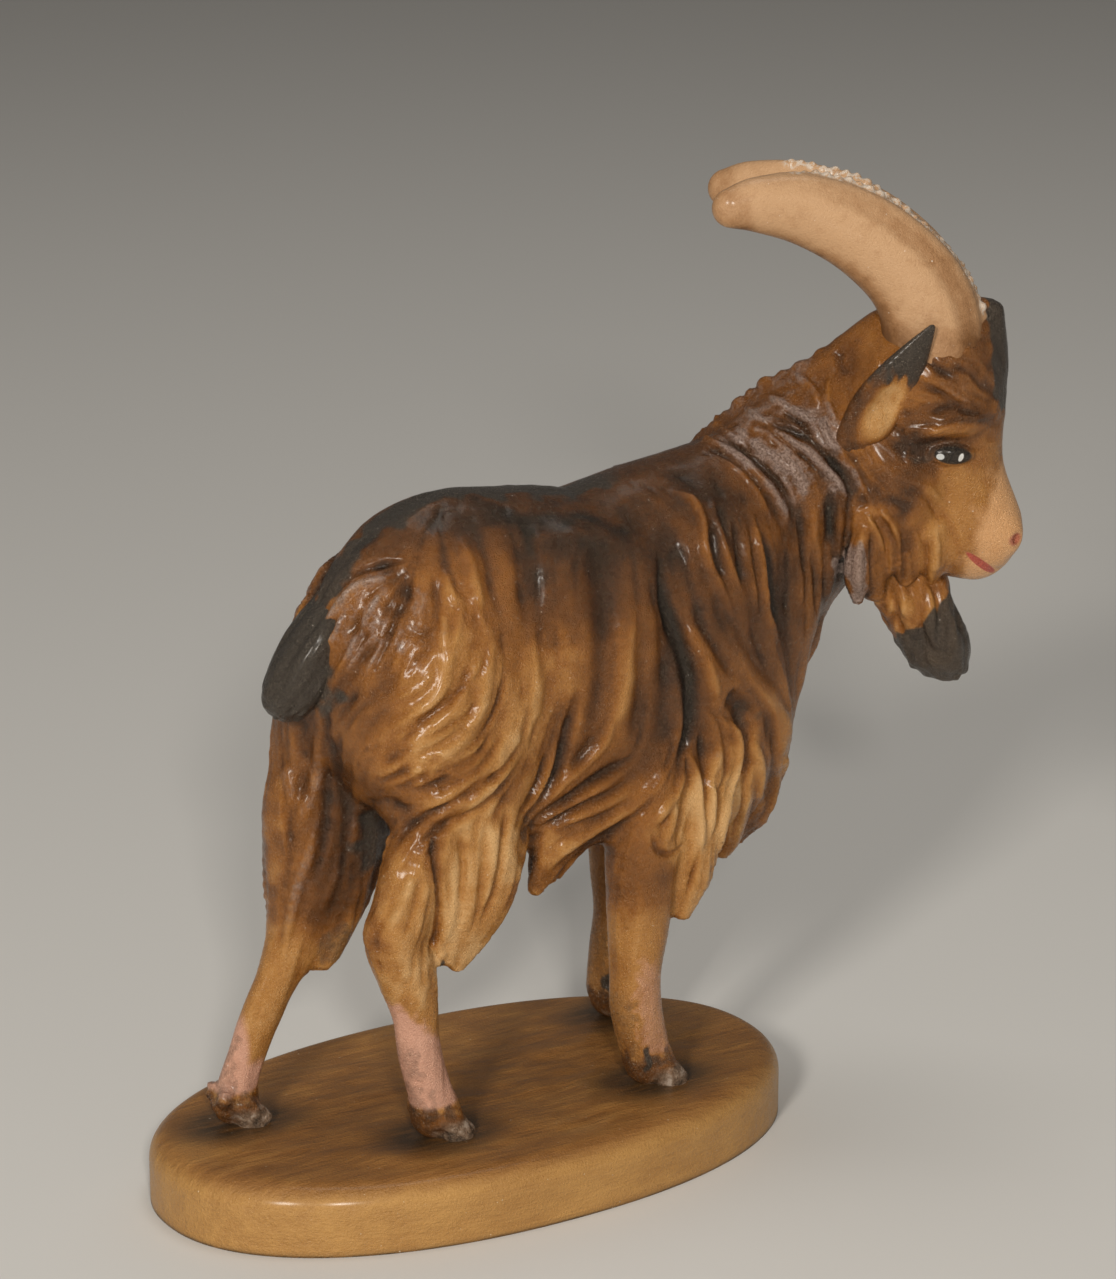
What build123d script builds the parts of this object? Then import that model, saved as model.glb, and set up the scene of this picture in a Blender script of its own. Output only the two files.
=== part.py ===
"""Carved and painted wooden billy goat on an oval plinth, built up from dowelled blanks.

Row frame, millimetres: origin at the centre of the plinth's underside, +Z up, +X the way the body faces,
+Y the goat's left. The head is turned to the goat's right, so it has a frame of its own.
"""

import math
import os

from build123d import *

# ---------------------------------------------------------------- driving dimensions
PLINTH_LENGTH = 80.0
PLINTH_WIDTH = 46.0
PLINTH_THICKNESS = 8.0
PLINTH_EDGE_RADIUS = 3.0
PLINTH_FULLNESS = 2.18  # exponent of the superellipse: 2 is a plain ellipse, more is fuller
PLINTH_OUTLINE_POINTS = 24

HEAD_YAW = -32.0  # degrees the head is turned from the body's +X, to the goat's right
HEAD_CENTRE = (53.0, -8.0)
NECK_SEAT = (-7.4, 76.2)  # forward place and height of the neck joint's centre, in the head's frame
NECK_JOINT_LEAN = 13.0  # degrees the neck joint leans back, square to the rising neck
HORN_SEAT_Z = 95.0
BEARD_SEAT_Z = 63.5

HIND_SEAT_Z = 41.0  # height of the glue faces between the haunches and the hind legs
FORE_SEAT_Z = 37.0  # and between the shoulders and the front legs

GLUE_GAP = 0.05  # radial room for glue round every dowel
END_GAP = 0.5  # room past each dowel's end for the air and the spare glue
TIP_ROUND = 1.3  # edge radius of the blunt tips of horns, tail and beard
CUT_LEAD = 1.0  # every socket's cut starts this far outside its glue face

NECK_DOWEL = (5.0, 16.0)  # each dowel is (diameter, length)
LEG_DOWEL = (3.0, 10.0)
FOOT_DOWEL = (2.5, 8.0)
HORN_DOWEL = (2.5, 8.0)
TAIL_DOWEL = (2.5, 8.0)
BEARD_DOWEL = (2.0, 8.0)
EAR_PEG = (1.6, 5.0)

# ---------------------------------------------------------------- frames
yaw = math.radians(HEAD_YAW)
HEAD = Plane(origin=(*HEAD_CENTRE, 0), x_dir=(math.cos(yaw), math.sin(yaw), 0), z_dir=(0, 0, 1))
NECK_PLANE = Plane(
    origin=HEAD.from_local_coords((NECK_SEAT[0], 0, NECK_SEAT[1])),
    x_dir=HEAD.y_dir,
    z_dir=HEAD.x_dir.rotate(Axis((0, 0, 0), HEAD.y_dir), -NECK_JOINT_LEAN),
)
TAIL_PLANE = Plane(origin=(-17.6, 0, 65.8), x_dir=(0, 1, 0), z_dir=(-0.70, 0, -0.71))

# ---------------------------------------------------------------- stations
# Body: (x, bottom z, top z, half width) of upright ellipses across the body.
BODY_STATIONS = [
    (-20.0, 55.0, 66.0, 4.5),
    (-16.5, 46.0, 71.5, 8.2),
    (-9.0, 42.0, 78.3, 11.2),
    (0.0, 38.5, 80.6, 12.0),
    (10.0, 37.5, 78.6, 12.2),
    (20.0, 39.0, 79.0, 12.0),
    (29.0, 37.0, 79.5, 11.5),
    (36.5, 34.5, 70.0, 9.8),
    (40.0, 37.0, 61.0, 7.4),
    (42.3, 41.5, 52.0, 3.0),
]
# Neck, up to its joint: (x, y, z, half length, half width) of ellipses parallel to the joint.
NECK_STATIONS = [(29.0, 0.0, 60.0, 17.5, 10.5), (38.4, -1.2, 68.6, 14.8, 8.8)]
NECK_END = (14.1, 7.2)  # half length and half width of the neck at its joint
# Columns of hair and muscle over each leg: (x, y, z, half length, half width).
HAUNCH_RIGHT = [(-5.0, -6.5, 66.0, 9.0, 4.5), (-6.5, -8.0, 54.0, 11.0, 5.5), (-7.0, -9.0, 41.0, 7.5, 4.5)]
HAUNCH_LEFT = [(-8.0, 6.0, 66.0, 7.5, 4.5), (-12.8, 6.5, 54.0, 9.2, 5.4), (-15.2, 6.0, 41.0, 7.4, 4.5)]
SHOULDER_RIGHT = [(25.0, -6.5, 64.0, 8.0, 4.5), (23.0, -8.5, 50.0, 8.5, 4.8), (20.0, -9.5, 37.0, 7.0, 4.2)]
SHOULDER_LEFT = [(28.0, 6.5, 64.0, 8.0, 4.5), (28.0, 8.5, 50.0, 8.5, 4.8), (27.0, 9.0, 37.0, 7.0, 4.2)]
# Locks hanging from the body, each from its root down to its tip, as the columns are.
BELLY_LOCK = [(4.0, -6.5, 44.0, 4.5, 4.0), (4.2, -7.0, 34.5, 1.2, 1.2)]
CHEST_LOCK = [(32.0, 0.5, 42.0, 6.0, 4.0), (32.0, 1.0, 33.0, 3.4, 3.0), (30.0, 1.5, 26.5, 0.9, 0.9)]

# Legs, from the seat to the plinth: (x, y, z, half length, half width).
LEG_HIND_RIGHT = [
    (-10.0, -9.5, 41.0, 5.0, 4.0), (-13.5, -9.8, 35.0, 5.8, 3.6), (-14.5, -10.0, 30.0, 4.4, 3.2),
    (-13.3, -10.0, 22.0, 2.9, 2.6), (-12.2, -10.0, 15.0, 3.0, 2.6), (-10.8, -10.0, 11.0, 3.2, 2.8),
    (-9.8, -10.0, 8.0, 3.7, 3.2),
]
LEG_HIND_LEFT = [
    (-15.8, 6.0, 41.0, 6.6, 4.0), (-18.0, 5.6, 34.0, 5.2, 3.6), (-20.8, 5.2, 28.0, 4.0, 3.1),
    (-24.0, 5.0, 21.0, 2.9, 2.6), (-27.0, 5.0, 14.5, 2.9, 2.6), (-28.2, 5.0, 11.0, 3.0, 2.8),
    (-27.6, 5.0, 8.0, 3.7, 3.2),
]
LEG_FRONT_RIGHT = [
    (18.5, -9.6, 37.0, 5.6, 3.8), (17.2, -9.9, 30.0, 4.1, 3.4), (16.3, -10.0, 22.0, 3.3, 2.8),
    (16.6, -10.0, 15.0, 3.4, 2.8), (18.2, -10.0, 11.0, 3.3, 2.9), (19.6, -10.0, 8.0, 3.7, 3.2),
]
LEG_FRONT_LEFT = [
    (27.0, 9.2, 37.0, 5.6, 3.8), (26.4, 9.2, 30.0, 4.0, 3.4), (26.0, 9.2, 22.0, 3.2, 2.8),
    (25.4, 9.2, 15.0, 3.2, 2.8), (25.8, 9.2, 11.0, 3.2, 2.9), (26.8, 9.2, 8.0, 3.7, 3.2),
]
# Locks hanging down the legs, from the seat to their tips.
LEG_LOCKS = {
    "leg_hind_right": [(-3.4, -9.3, 41.0, 4.2, 3.4), (-2.4, -9.5, 35.0, 3.4, 2.6), (-4.0, -9.8, 27.5, 0.9, 0.9)],
    "leg_hind_left": [(-11.6, 5.2, 41.0, 3.8, 3.2), (-14.0, 4.9, 34.0, 3.2, 2.6), (-17.4, 4.6, 26.5, 0.9, 0.9)],
    "leg_front_right": [(21.6, -9.8, 37.0, 3.8, 3.2), (21.6, -10.6, 33.0, 2.6, 2.2), (20.6, -11.2, 28.5, 0.9, 0.9)],
}
# Head, from the jaw up: (z, u, half length, half width) in the head's frame, u forward.
HEAD_STATIONS = [
    (63.5, 4.6, 8.4, 3.8), (66.5, 4.2, 11.1, 4.8), (72.0, 2.6, 12.7, 6.2), (79.0, 0.9, 11.9, 7.3),
    (87.0, 0.2, 12.0, 7.4), (92.0, 1.8, 10.2, 6.5), (95.0, 3.8, 8.0, 5.4),
]
# Beard, from the jaw down: (z, u, half length, half width) in the head's frame.
BEARD_STATIONS = [(63.5, 2.6, 4.6, 3.4), (59.0, 4.2, 4.4, 3.2), (55.0, 5.8, 4.2, 2.9), (51.2, 7.6, 2.0, 1.6)]
# Horn centreline: (u, v, z, half width in profile, half width across), v to the goat's right here.
HORN_STATIONS = [
    (4.6, 3.1, 95.0, 6.0, 3.0),
    (1.9, 3.4, 100.2, 5.4, 3.2),
    (-4.0, 3.9, 105.2, 4.9, 3.3),
    (-11.0, 4.6, 108.0, 4.4, 3.2),
    (-17.0, 5.3, 108.7, 3.7, 2.9),
    (-20.8, 5.8, 108.4, 2.0, 1.8),
]
# Tail, out along its own axis from the seat: (distance, half width across, half thickness).
TAIL_STATIONS = [(0.0, 3.4, 3.2), (4.5, 3.6, 3.1), (8.5, 3.2, 3.0), (11.5, 1.8, 1.8)]
# Ear, along its own axis from the seat: (distance, half width, half thickness).
EAR_STATIONS = [(0.0, 1.9, 1.5), (4.0, 2.9, 1.7), (8.5, 2.9, 1.4), (12.5, 1.8, 1.0), (15.5, 0.5, 0.5)]
EAR_ROOT = (-4.2, 5.7, 82.0)  # u, v, z in the head's frame
EAR_DIRECTION = (0.50, 0.34, 0.80)
EAR_SEAT = (3.4, 3.0, 9.0)  # half sizes and length of the flat-floored notch the ear stands in


# ---------------------------------------------------------------- helpers
def oval(plane, half_length, half_width):
    """A filled ellipse on a plane, its half length along the plane's X."""
    with BuildSketch(plane) as sketch:
        Ellipse(half_length, half_width)
    return sketch.sketch.face()


def level_ovals(stations):
    """Level ellipses through a leg or a column of hair: (x, y, z, half length, half width)."""
    return [oval(Plane((x, y, z)), length, width) for x, y, z, length, width in stations]


def head_ovals(stations):
    """Level ellipses in the head's frame: (z, u, half length, half width)."""
    return [oval(head_level(u, z), length, width) for z, u, length, width in stations]


def head_level(u, z):
    """A level plane at a place in the head's frame, X forward along the head."""
    return Plane(origin=HEAD.from_local_coords((u, 0, z)), x_dir=HEAD.x_dir, z_dir=(0, 0, 1))


def side_sign(side):
    """+1 for the goat's left, -1 for its right, as y and the head's v run."""
    return 1 if side == "left" else -1


def socket(plane, dowel):
    """Cuts a blind socket for half a dowel from the current part, in along the plane's -Z."""
    diameter, length = dowel
    with Locations(plane.offset(CUT_LEAD)):
        Cylinder(
            diameter / 2 + GLUE_GAP,
            length / 2 + END_GAP + CUT_LEAD,
            align=(Align.CENTER, Align.CENTER, Align.MAX),
            mode=Mode.SUBTRACT,
        )


def flipped(plane):
    """The same plane seen from its other side."""
    return Plane(origin=plane.origin, x_dir=plane.x_dir, z_dir=-plane.z_dir)


def dowel_on(plane, dowel):
    """Adds a dowel centred on the plane, along its Z, to the current part."""
    diameter, length = dowel
    with Locations(plane):
        Cylinder(diameter / 2, length)


def planar_ends(builder):
    """The flat end faces of a lofted part, from the lowest up."""
    return builder.faces().filter_by(GeomType.PLANE).sort_by(Axis.Z)


def leg_seat(stations):
    """The glue face at a leg's top."""
    return Plane(stations[0][:3])


def foot_seat(stations):
    """The glue face under a leg's hoof."""
    return Plane(stations[-1][:3])


def ear_plane(side):
    """The ear's seat: Z along the ear, X across it."""
    sign = side_sign(side)
    u, v, z = EAR_ROOT
    du, dv, dz = EAR_DIRECTION
    origin = HEAD.from_local_coords((u, sign * v, z))
    tip = HEAD.from_local_coords((u + du, sign * (v + dv), z + dz))
    out = HEAD.y_dir * sign
    along = (tip - origin).normalized()
    return Plane(origin=origin, x_dir=along.cross(out), z_dir=along)


def horn_section(side, index):
    """The plane across one horn's centreline at a station: X in profile, Y across."""
    sign = side_sign(side)
    points = [HEAD.from_local_coords((u, sign * v, z)) for u, v, z, *_ in HORN_STATIONS]
    before = points[max(index - 1, 0)]
    after = points[min(index + 1, len(points) - 1)]
    along = HEAD.z_dir if index == 0 else (after - before).normalized()
    return Plane(origin=points[index], x_dir=HEAD.y_dir.cross(along), z_dir=along)


LEGS = {
    "leg_hind_right": LEG_HIND_RIGHT,
    "leg_hind_left": LEG_HIND_LEFT,
    "leg_front_right": LEG_FRONT_RIGHT,
    "leg_front_left": LEG_FRONT_LEFT,
}

BEARD_SEAT = head_level(BEARD_STATIONS[0][1], BEARD_SEAT_Z)

# ---------------------------------------------------------------- plinth
with BuildPart() as plinth:
    outline = []
    for step in range(PLINTH_OUTLINE_POINTS):
        angle = 2 * math.pi * step / PLINTH_OUTLINE_POINTS
        c, s = math.cos(angle), math.sin(angle)
        outline.append((
            PLINTH_LENGTH / 2 * math.copysign(abs(c) ** (2 / PLINTH_FULLNESS), c),
            PLINTH_WIDTH / 2 * math.copysign(abs(s) ** (2 / PLINTH_FULLNESS), s),
        ))
    with BuildSketch():
        with BuildLine():
            Spline(*outline, periodic=True)
        make_face()
    extrude(amount=PLINTH_THICKNESS)
    fillet(plinth.faces().sort_by(Axis.Z)[-1].edges(), PLINTH_EDGE_RADIUS)
    for stations in LEGS.values():
        socket(foot_seat(stations), FOOT_DOWEL)
plinth.part.label = "plinth"

# ---------------------------------------------------------------- body with the neck
with BuildPart() as body:
    for x, bottom, top, half_width in BODY_STATIONS:
        with BuildSketch(Plane.YZ.offset(x)):
            with Locations((0, (bottom + top) / 2)):
                Ellipse(half_width, (top - bottom) / 2)
    loft()
    for column in (HAUNCH_RIGHT, HAUNCH_LEFT, SHOULDER_RIGHT, SHOULDER_LEFT):
        loft(level_ovals(column))
    neck = [
        oval(Plane(origin=(x, y, z), x_dir=NECK_PLANE.x_dir, z_dir=NECK_PLANE.z_dir), width, length)
        for x, y, z, length, width in NECK_STATIONS
    ]
    neck.append(oval(NECK_PLANE, NECK_END[1], NECK_END[0]))
    loft(neck)
    loft(level_ovals(BELLY_LOCK))
    loft(level_ovals(CHEST_LOCK))
    socket(NECK_PLANE, NECK_DOWEL)
    for stations in LEGS.values():
        socket(flipped(leg_seat(stations)), LEG_DOWEL)
    with BuildSketch(TAIL_PLANE):
        Ellipse(4.6, 4.4)
    extrude(amount=12, mode=Mode.SUBTRACT)
    socket(TAIL_PLANE, TAIL_DOWEL)
body.part.label = "body"

# ---------------------------------------------------------------- legs
legs = {}
for name, stations in LEGS.items():
    with BuildPart() as leg:
        loft(level_ovals(stations))
        if name in LEG_LOCKS:
            loft(level_ovals(LEG_LOCKS[name]))
        socket(leg_seat(stations), LEG_DOWEL)
        socket(flipped(foot_seat(stations)), FOOT_DOWEL)
    leg.part.label = name
    legs[name] = leg

# ---------------------------------------------------------------- head
with BuildPart() as head:
    loft(head_ovals(HEAD_STATIONS))
    split(bisect_by=NECK_PLANE, keep=Keep.TOP)
    socket(flipped(NECK_PLANE), NECK_DOWEL)
    for side in ("left", "right"):
        seat = ear_plane(side)
        with BuildSketch(seat):
            Ellipse(*EAR_SEAT[:2])
        extrude(amount=EAR_SEAT[2], mode=Mode.SUBTRACT)
        socket(seat, EAR_PEG)
        socket(horn_section(side, 0), HORN_DOWEL)
    socket(flipped(BEARD_SEAT), BEARD_DOWEL)
head.part.label = "head"

# ---------------------------------------------------------------- beard
with BuildPart() as beard:
    loft(head_ovals(BEARD_STATIONS))
    fillet(planar_ends(beard)[0].edges(), TIP_ROUND)
    socket(BEARD_SEAT, BEARD_DOWEL)
beard.part.label = "beard"

# ---------------------------------------------------------------- horns and ears
horns, ears = {}, {}
for side in ("left", "right"):
    with BuildPart() as horn:
        for index, station in enumerate(HORN_STATIONS):
            with BuildSketch(horn_section(side, index)):
                Ellipse(station[3], station[4])
        loft()
        fillet(planar_ends(horn)[-1].edges(), TIP_ROUND)
        socket(flipped(horn_section(side, 0)), HORN_DOWEL)
    horn.part.label = f"horn_{side}"
    horns[side] = horn
    with BuildPart() as ear:
        seat = ear_plane(side)
        for distance, half_width, half_thickness in EAR_STATIONS:
            with BuildSketch(seat.offset(distance)):
                Ellipse(half_width, half_thickness)
        loft()
        socket(flipped(seat), EAR_PEG)
    ear.part.label = f"ear_{side}"
    ears[side] = ear

# ---------------------------------------------------------------- tail
with BuildPart() as tail:
    for distance, half_width, half_thickness in TAIL_STATIONS:
        with BuildSketch(TAIL_PLANE.offset(distance)):
            Ellipse(half_width, half_thickness)
    loft()
    fillet(planar_ends(tail)[0].edges(), TIP_ROUND)
    socket(flipped(TAIL_PLANE), TAIL_DOWEL)
tail.part.label = "tail"

# ---------------------------------------------------------------- dowels
with BuildPart() as neck_dowel:
    dowel_on(NECK_PLANE, NECK_DOWEL)
neck_dowel.part.label = "neck_dowel"

with BuildPart() as tail_dowel:
    dowel_on(TAIL_PLANE, TAIL_DOWEL)
tail_dowel.part.label = "tail_dowel"

with BuildPart() as beard_dowel:
    dowel_on(BEARD_SEAT, BEARD_DOWEL)
beard_dowel.part.label = "beard_dowel"

with BuildPart() as leg_dowels:
    for stations in LEGS.values():
        dowel_on(leg_seat(stations), LEG_DOWEL)
leg_dowels.part.label = "leg_dowels"

with BuildPart() as foot_dowels:
    for stations in LEGS.values():
        dowel_on(foot_seat(stations), FOOT_DOWEL)
foot_dowels.part.label = "foot_dowels"

with BuildPart() as horn_dowels:
    for side in ("left", "right"):
        dowel_on(horn_section(side, 0), HORN_DOWEL)
horn_dowels.part.label = "horn_dowels"

with BuildPart() as ear_pegs:
    for side in ("left", "right"):
        dowel_on(ear_plane(side), EAR_PEG)
ear_pegs.part.label = "ear_pegs"

# ---------------------------------------------------------------- export
os.makedirs("parts", exist_ok=True)
PIECES = [
    plinth, body, *legs.values(), head, beard, *horns.values(), *ears.values(), tail,
    neck_dowel, tail_dowel, beard_dowel, leg_dowels, foot_dowels, horn_dowels, ear_pegs,
]
for piece in PIECES:
    export_step(piece.part, f"parts/{piece.part.label}.step")
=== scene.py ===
"""Looks of the carved and painted wooden billy goat: every visible piece is sculpted over its CAD solid.

The sculpting works in millimetres in the row frame (+X the way the body faces, +Y the goat's left, +Z up).
One block of clay makes the whole animal, which is then sawn apart at the glue joints, so the carving runs
across each joint. Strokes of the gouge are pressed on to it, and between them the hair ripples along the
lie that the strokes and a few guides give it. Stain, paint, painted shade and painted highlights are masks
stored on the vertices.
"""

import math

import bmesh
import bpy
import numpy as np
import openvdb
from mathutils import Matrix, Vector
from mathutils.bvhtree import BVHTree


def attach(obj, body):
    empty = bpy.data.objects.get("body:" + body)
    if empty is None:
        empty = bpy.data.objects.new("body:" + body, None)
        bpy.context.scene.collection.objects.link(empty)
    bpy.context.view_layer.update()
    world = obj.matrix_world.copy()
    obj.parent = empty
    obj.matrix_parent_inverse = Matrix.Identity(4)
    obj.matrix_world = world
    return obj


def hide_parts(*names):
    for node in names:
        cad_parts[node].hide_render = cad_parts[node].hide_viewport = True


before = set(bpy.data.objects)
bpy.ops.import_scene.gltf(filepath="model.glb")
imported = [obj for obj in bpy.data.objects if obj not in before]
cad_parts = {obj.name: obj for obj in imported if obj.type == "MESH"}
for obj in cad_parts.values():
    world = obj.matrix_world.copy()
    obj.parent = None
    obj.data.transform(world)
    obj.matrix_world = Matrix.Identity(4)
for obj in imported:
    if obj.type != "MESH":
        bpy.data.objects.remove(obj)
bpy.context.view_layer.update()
MM = 0.001
RNG = np.random.default_rng(11)

# ---------------------------------------------------------------- frames and small helpers
HEAD_TURN = -32.0  # degrees: the goat looks to its right
HEAD_YAW = math.radians(HEAD_TURN)
HEAD_CENTRE = np.array([53.0, -8.0, 0.0])
FORWARD = np.array([math.cos(HEAD_YAW), math.sin(HEAD_YAW), 0.0])
LEFT = np.array([-math.sin(HEAD_YAW), math.cos(HEAD_YAW), 0.0])
UP = np.array([0.0, 0.0, 1.0])
ACROSS = np.array([0.0, 1.0, 0.0])
BOTH = (-1, 1)  # the goat's right, then its left


def head(u, v, z):
    """A point given forward, left and up in the head's frame."""
    return HEAD_CENTRE + FORWARD * u + LEFT * v + UP * z


def head_rod(*rows):
    """Rows of forward, left, up and radius in the head's frame, as limb() takes them."""
    return [(*head(u, v, z), r) for u, v, z, r in rows]


def in_head(points):
    """Points of the row frame, as forward, left and up in the head's frame."""
    return (points - HEAD_CENTRE) @ np.array([FORWARD, LEFT, UP]).T


NECK_LEAN = math.radians(13.0)
NECK_NORMAL = FORWARD * math.cos(NECK_LEAN) + UP * math.sin(NECK_LEAN)
NECK_POINT = head(-7.4, 0.0, 76.2)


def unit(v):
    v = np.asarray(v, float)
    return v / np.linalg.norm(v, axis=-1, keepdims=True)


def dots(a, b):
    """Row by row dot products."""
    return np.einsum("ij,ij->i", a, b)


def ramp(x, low, high):
    """0 below low, 1 above high, smooth between; low may be the larger."""
    t = np.clip((x - low) / (high - low), 0, 1)
    return t * t * (3 - 2 * t)


def curve(points, parts=3):
    """The same path with Catmull-Rom points added between the given ones."""
    p = np.asarray(points, float)
    ends = np.vstack([2 * p[0] - p[1], p, 2 * p[-1] - p[-2]])
    out = []
    for a, b, c, d in zip(ends, ends[1:], ends[2:], ends[3:]):
        square, cube = 2 * a - 5 * b + 4 * c - d, 3 * b - a - 3 * c + d
        for t in np.arange(parts) / parts:
            out.append(0.5 * (2 * b + (c - a) * t + square * t**2 + cube * t**3))
    return np.array(out + [p[-1]])


def corners(fraction):
    """The eight corners round each place in a grid: their offsets and the weights to blend them with."""
    for dx in (0, 1):
        for dy in (0, 1):
            for dz in (0, 1):
                x, y, z = np.abs(1 - np.array([dx, dy, dz]) - fraction).T
                yield dx, dy, dz, x * y * z


# ---------------------------------------------------------------- clay
FAR = 6.0  # the signed distance given to empty space


def ball(centre, radii, turn=0.0, axis=ACROSS):
    """An ellipsoid, turned by degrees about an axis."""
    centre, radii = np.asarray(centre, float), np.asarray(radii, float)
    k, a = unit(axis), math.radians(turn)
    cross = np.array([[0, -k[2], k[1]], [k[2], 0, -k[0]], [-k[1], k[0], 0]])
    spin = np.eye(3) + math.sin(a) * cross + (1 - math.cos(a)) * cross @ cross

    def distance(p):
        q = (p - centre) @ spin
        near = np.linalg.norm(q / radii, axis=-1) + 1e-6
        return near * (near - 1) / (np.linalg.norm(q / radii**2, axis=-1) + 1e-6)

    reach = np.abs(spin) @ radii
    return distance, centre - reach, centre + reach


def head_ball(u, v, z, radii):
    """An ellipsoid placed and turned with the head."""
    return ball(head(u, v, z), radii, HEAD_TURN, UP)


def limb(points, flat=None, share=1.0, parts=5):
    """A bent rod through (x, y, z, radius) points; share below 1 flattens it along the direction flat."""
    p = curve(points, parts)
    squash = None if flat is None else unit(flat)

    def distance(q):
        best = None
        for a, b in zip(p, p[1:]):
            along = b[:3] - a[:3]
            w = q - a[:3]
            t = np.clip(w @ along / (along @ along), 0, 1)
            w = w - t[..., None] * along
            if squash is not None:
                w = w + (w @ squash)[..., None] * squash * (1 / share - 1)
            d = np.linalg.norm(w, axis=-1) - (a[3] + t * (b[3] - a[3]))
            best = d if best is None else np.minimum(best, d)
        return best

    r = p[:, 3:]
    return distance, (p[:, :3] - r).min(0), (p[:, :3] + r).max(0)


class Clay:
    """Lumps added and hollows cut in order, each blended softly into what is there."""

    def __init__(self):
        self.steps = []

    def add(self, shape, blend=1.5):
        self.steps.append((shape, blend, False))

    def cut(self, shape, blend=0.6):
        self.steps.append((shape, blend, True))

    def field(self, low, high, cell):
        """Signed distance on a grid of cells from low to high."""
        count = np.ceil((np.asarray(high) - low) / cell).astype(int) + 1
        out = np.full(count, FAR, np.float32)
        for (distance, start, end), blend, hollow in self.steps:
            i = np.clip(np.floor((start - blend - 1 - low) / cell).astype(int), 0, count)
            j = np.clip(np.ceil((end + blend + 1 - low) / cell).astype(int) + 1, 0, count)
            if np.any(j <= i):
                continue
            axes = [low[k] + cell * np.arange(i[k], j[k]) for k in range(3)]
            block = np.stack(np.meshgrid(*axes, indexing="ij"), -1).astype(np.float32)
            d = distance(block).astype(np.float32)
            here = out[i[0] : j[0], i[1] : j[1], i[2] : j[2]]
            if hollow:
                soft = np.maximum(blend - np.abs(here + d), 0) / blend
                here[...] = np.maximum(here, -d) + soft * soft * blend / 4
            else:
                soft = np.maximum(blend - np.abs(here - d), 0) / blend
                here[...] = np.minimum(here, d) - soft * soft * blend / 4
        return out


def surface(values, low, cell):
    """The zero surface of a grid of signed distances: vertices in millimetres and quads."""
    grid = openvdb.FloatGrid(FAR)
    grid.copyFromArray(values)
    points, quads = grid.convertToQuads(0.0)
    return points.astype(float) * cell + np.asarray(low, float), quads.astype(int)


def normals_of(points, quads):
    """Unit vertex normals, facing out of the clay."""
    a, b, c, d = (points[quads[:, k]] for k in range(4))
    face = np.cross(c - a, d - b)
    out = np.zeros_like(points)
    for k in range(4):
        for axis in range(3):
            out[:, axis] += np.bincount(quads[:, k], face[:, axis], len(points))
    out /= np.linalg.norm(out, axis=1, keepdims=True) + 1e-9
    volume = dots((a + b + c + d) / 4, face).sum()
    return out if volume > 0 else -out


# ---------------------------------------------------------------- the animal
goat = Clay()


def trunk():
    """Barrel, chest, neck, belly, shoulders and haunches."""
    barrel = [(-2, 0, 61, 19.2), (6, 0, 59.6, 19.6), (14, 0, 58.8, 19.0), (22, 0, 60, 19.4),
              (28, 0, 61.4, 18.2)]
    goat.add(limb(barrel, ACROSS, 0.60), 2)
    goat.add(limb([(24, 0, 52, 14.5), (27.6, 0, 47, 14.4)], ACROSS, 0.76), 5)
    neck = [(28, 0, 62, 14.8), (38.5, -1.2, 69.8, 12.2), (46.7, -4.1, 76.4, 12.2), (50, -6, 79, 10.5)]
    goat.add(limb(neck, (0.3, 1, 0), 0.62), 6)
    for side in BOTH:
        goat.add(limb([(2, side * 3, 46, 8), (12, side * 4, 45, 8), (20, side * 4.5, 48, 8)]), 4)
    for side in BOTH:
        goat.add(ball((26, side * 7.0, 60), (7.5, 5.2, 16), 6), 4)
        goat.add(ball((31, side * 5.0, 50), (8.5, 6.0, 11), 12), 4)
        goat.add(ball((10, side * 7.2, 62), (11, 5.0, 13)), 6)
        goat.cut(ball((11, side * 17.2, 71.5), (7.5, 6.0, 6.0)), 3.5)
        goat.cut(ball((20.6, side * 17.0, 67.5), (3.2, 5.6, 9.0), 8), 3)
    goat.add(ball((-7.0, -6.6, 57.5), (10.8, 6.8, 15.0), 14), 4)
    goat.add(ball((-6.5, -8.0, 50.0), (8.8, 5.6, 6.5), 20), 2.5)
    goat.add(ball((-10.5, 6.0, 57.5), (10.4, 6.4, 15.0), 16), 4)


trunk()

# each leg: the rod down its middle, and how far it is flattened
LEG_RIGHT_HIND = [(-7.5, -8.2, 48, 5.0), (-11.8, -9.2, 42, 4.2), (-14.7, -10, 36, 3.5),
                  (-15.7, -10, 32.6, 3.5), (-14.3, -10, 28.2, 3.4), (-13.3, -10, 23.5, 2.7),
                  (-12.8, -10, 18.5, 2.6), (-11.5, -10, 13.2, 2.6), (-10.8, -10, 10.6, 2.9)]
LEG_LEFT_HIND = [(-13, 6.2, 50, 8.2), (-15.4, 6, 42, 7.8), (-16.6, 5.8, 35, 6.6), (-19.0, 5.4, 29.5, 4.3),
                 (-22.3, 5, 25, 2.8), (-24.3, 5, 21.5, 2.5), (-26.2, 5, 17.5, 2.3), (-28.0, 5, 13, 2.4),
                 (-28.6, 5, 10.6, 2.7)]
LEG_RIGHT_FRONT = [(19, -8.8, 46, 5.0), (17.6, -9.6, 38, 4.6), (16.9, -10, 32, 4.0), (16.7, -10, 27, 3.6),
                   (16.3, -10, 22, 3.1), (16.4, -10, 17.5, 3.1), (17.5, -10, 12.5, 3.0),
                   (18.2, -10, 10.6, 3.0)]
LEG_LEFT_FRONT = [(27, 8.2, 46, 5.0), (26.8, 9.0, 38, 4.6), (26.3, 9.2, 32, 4.0), (26.2, 9.2, 27, 3.6),
                  (26.0, 9.2, 22, 3.0), (25.6, 9.2, 17.5, 3.0), (25.2, 9.2, 12.5, 2.9),
                  (25.6, 9.2, 10.6, 2.9)]
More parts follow.
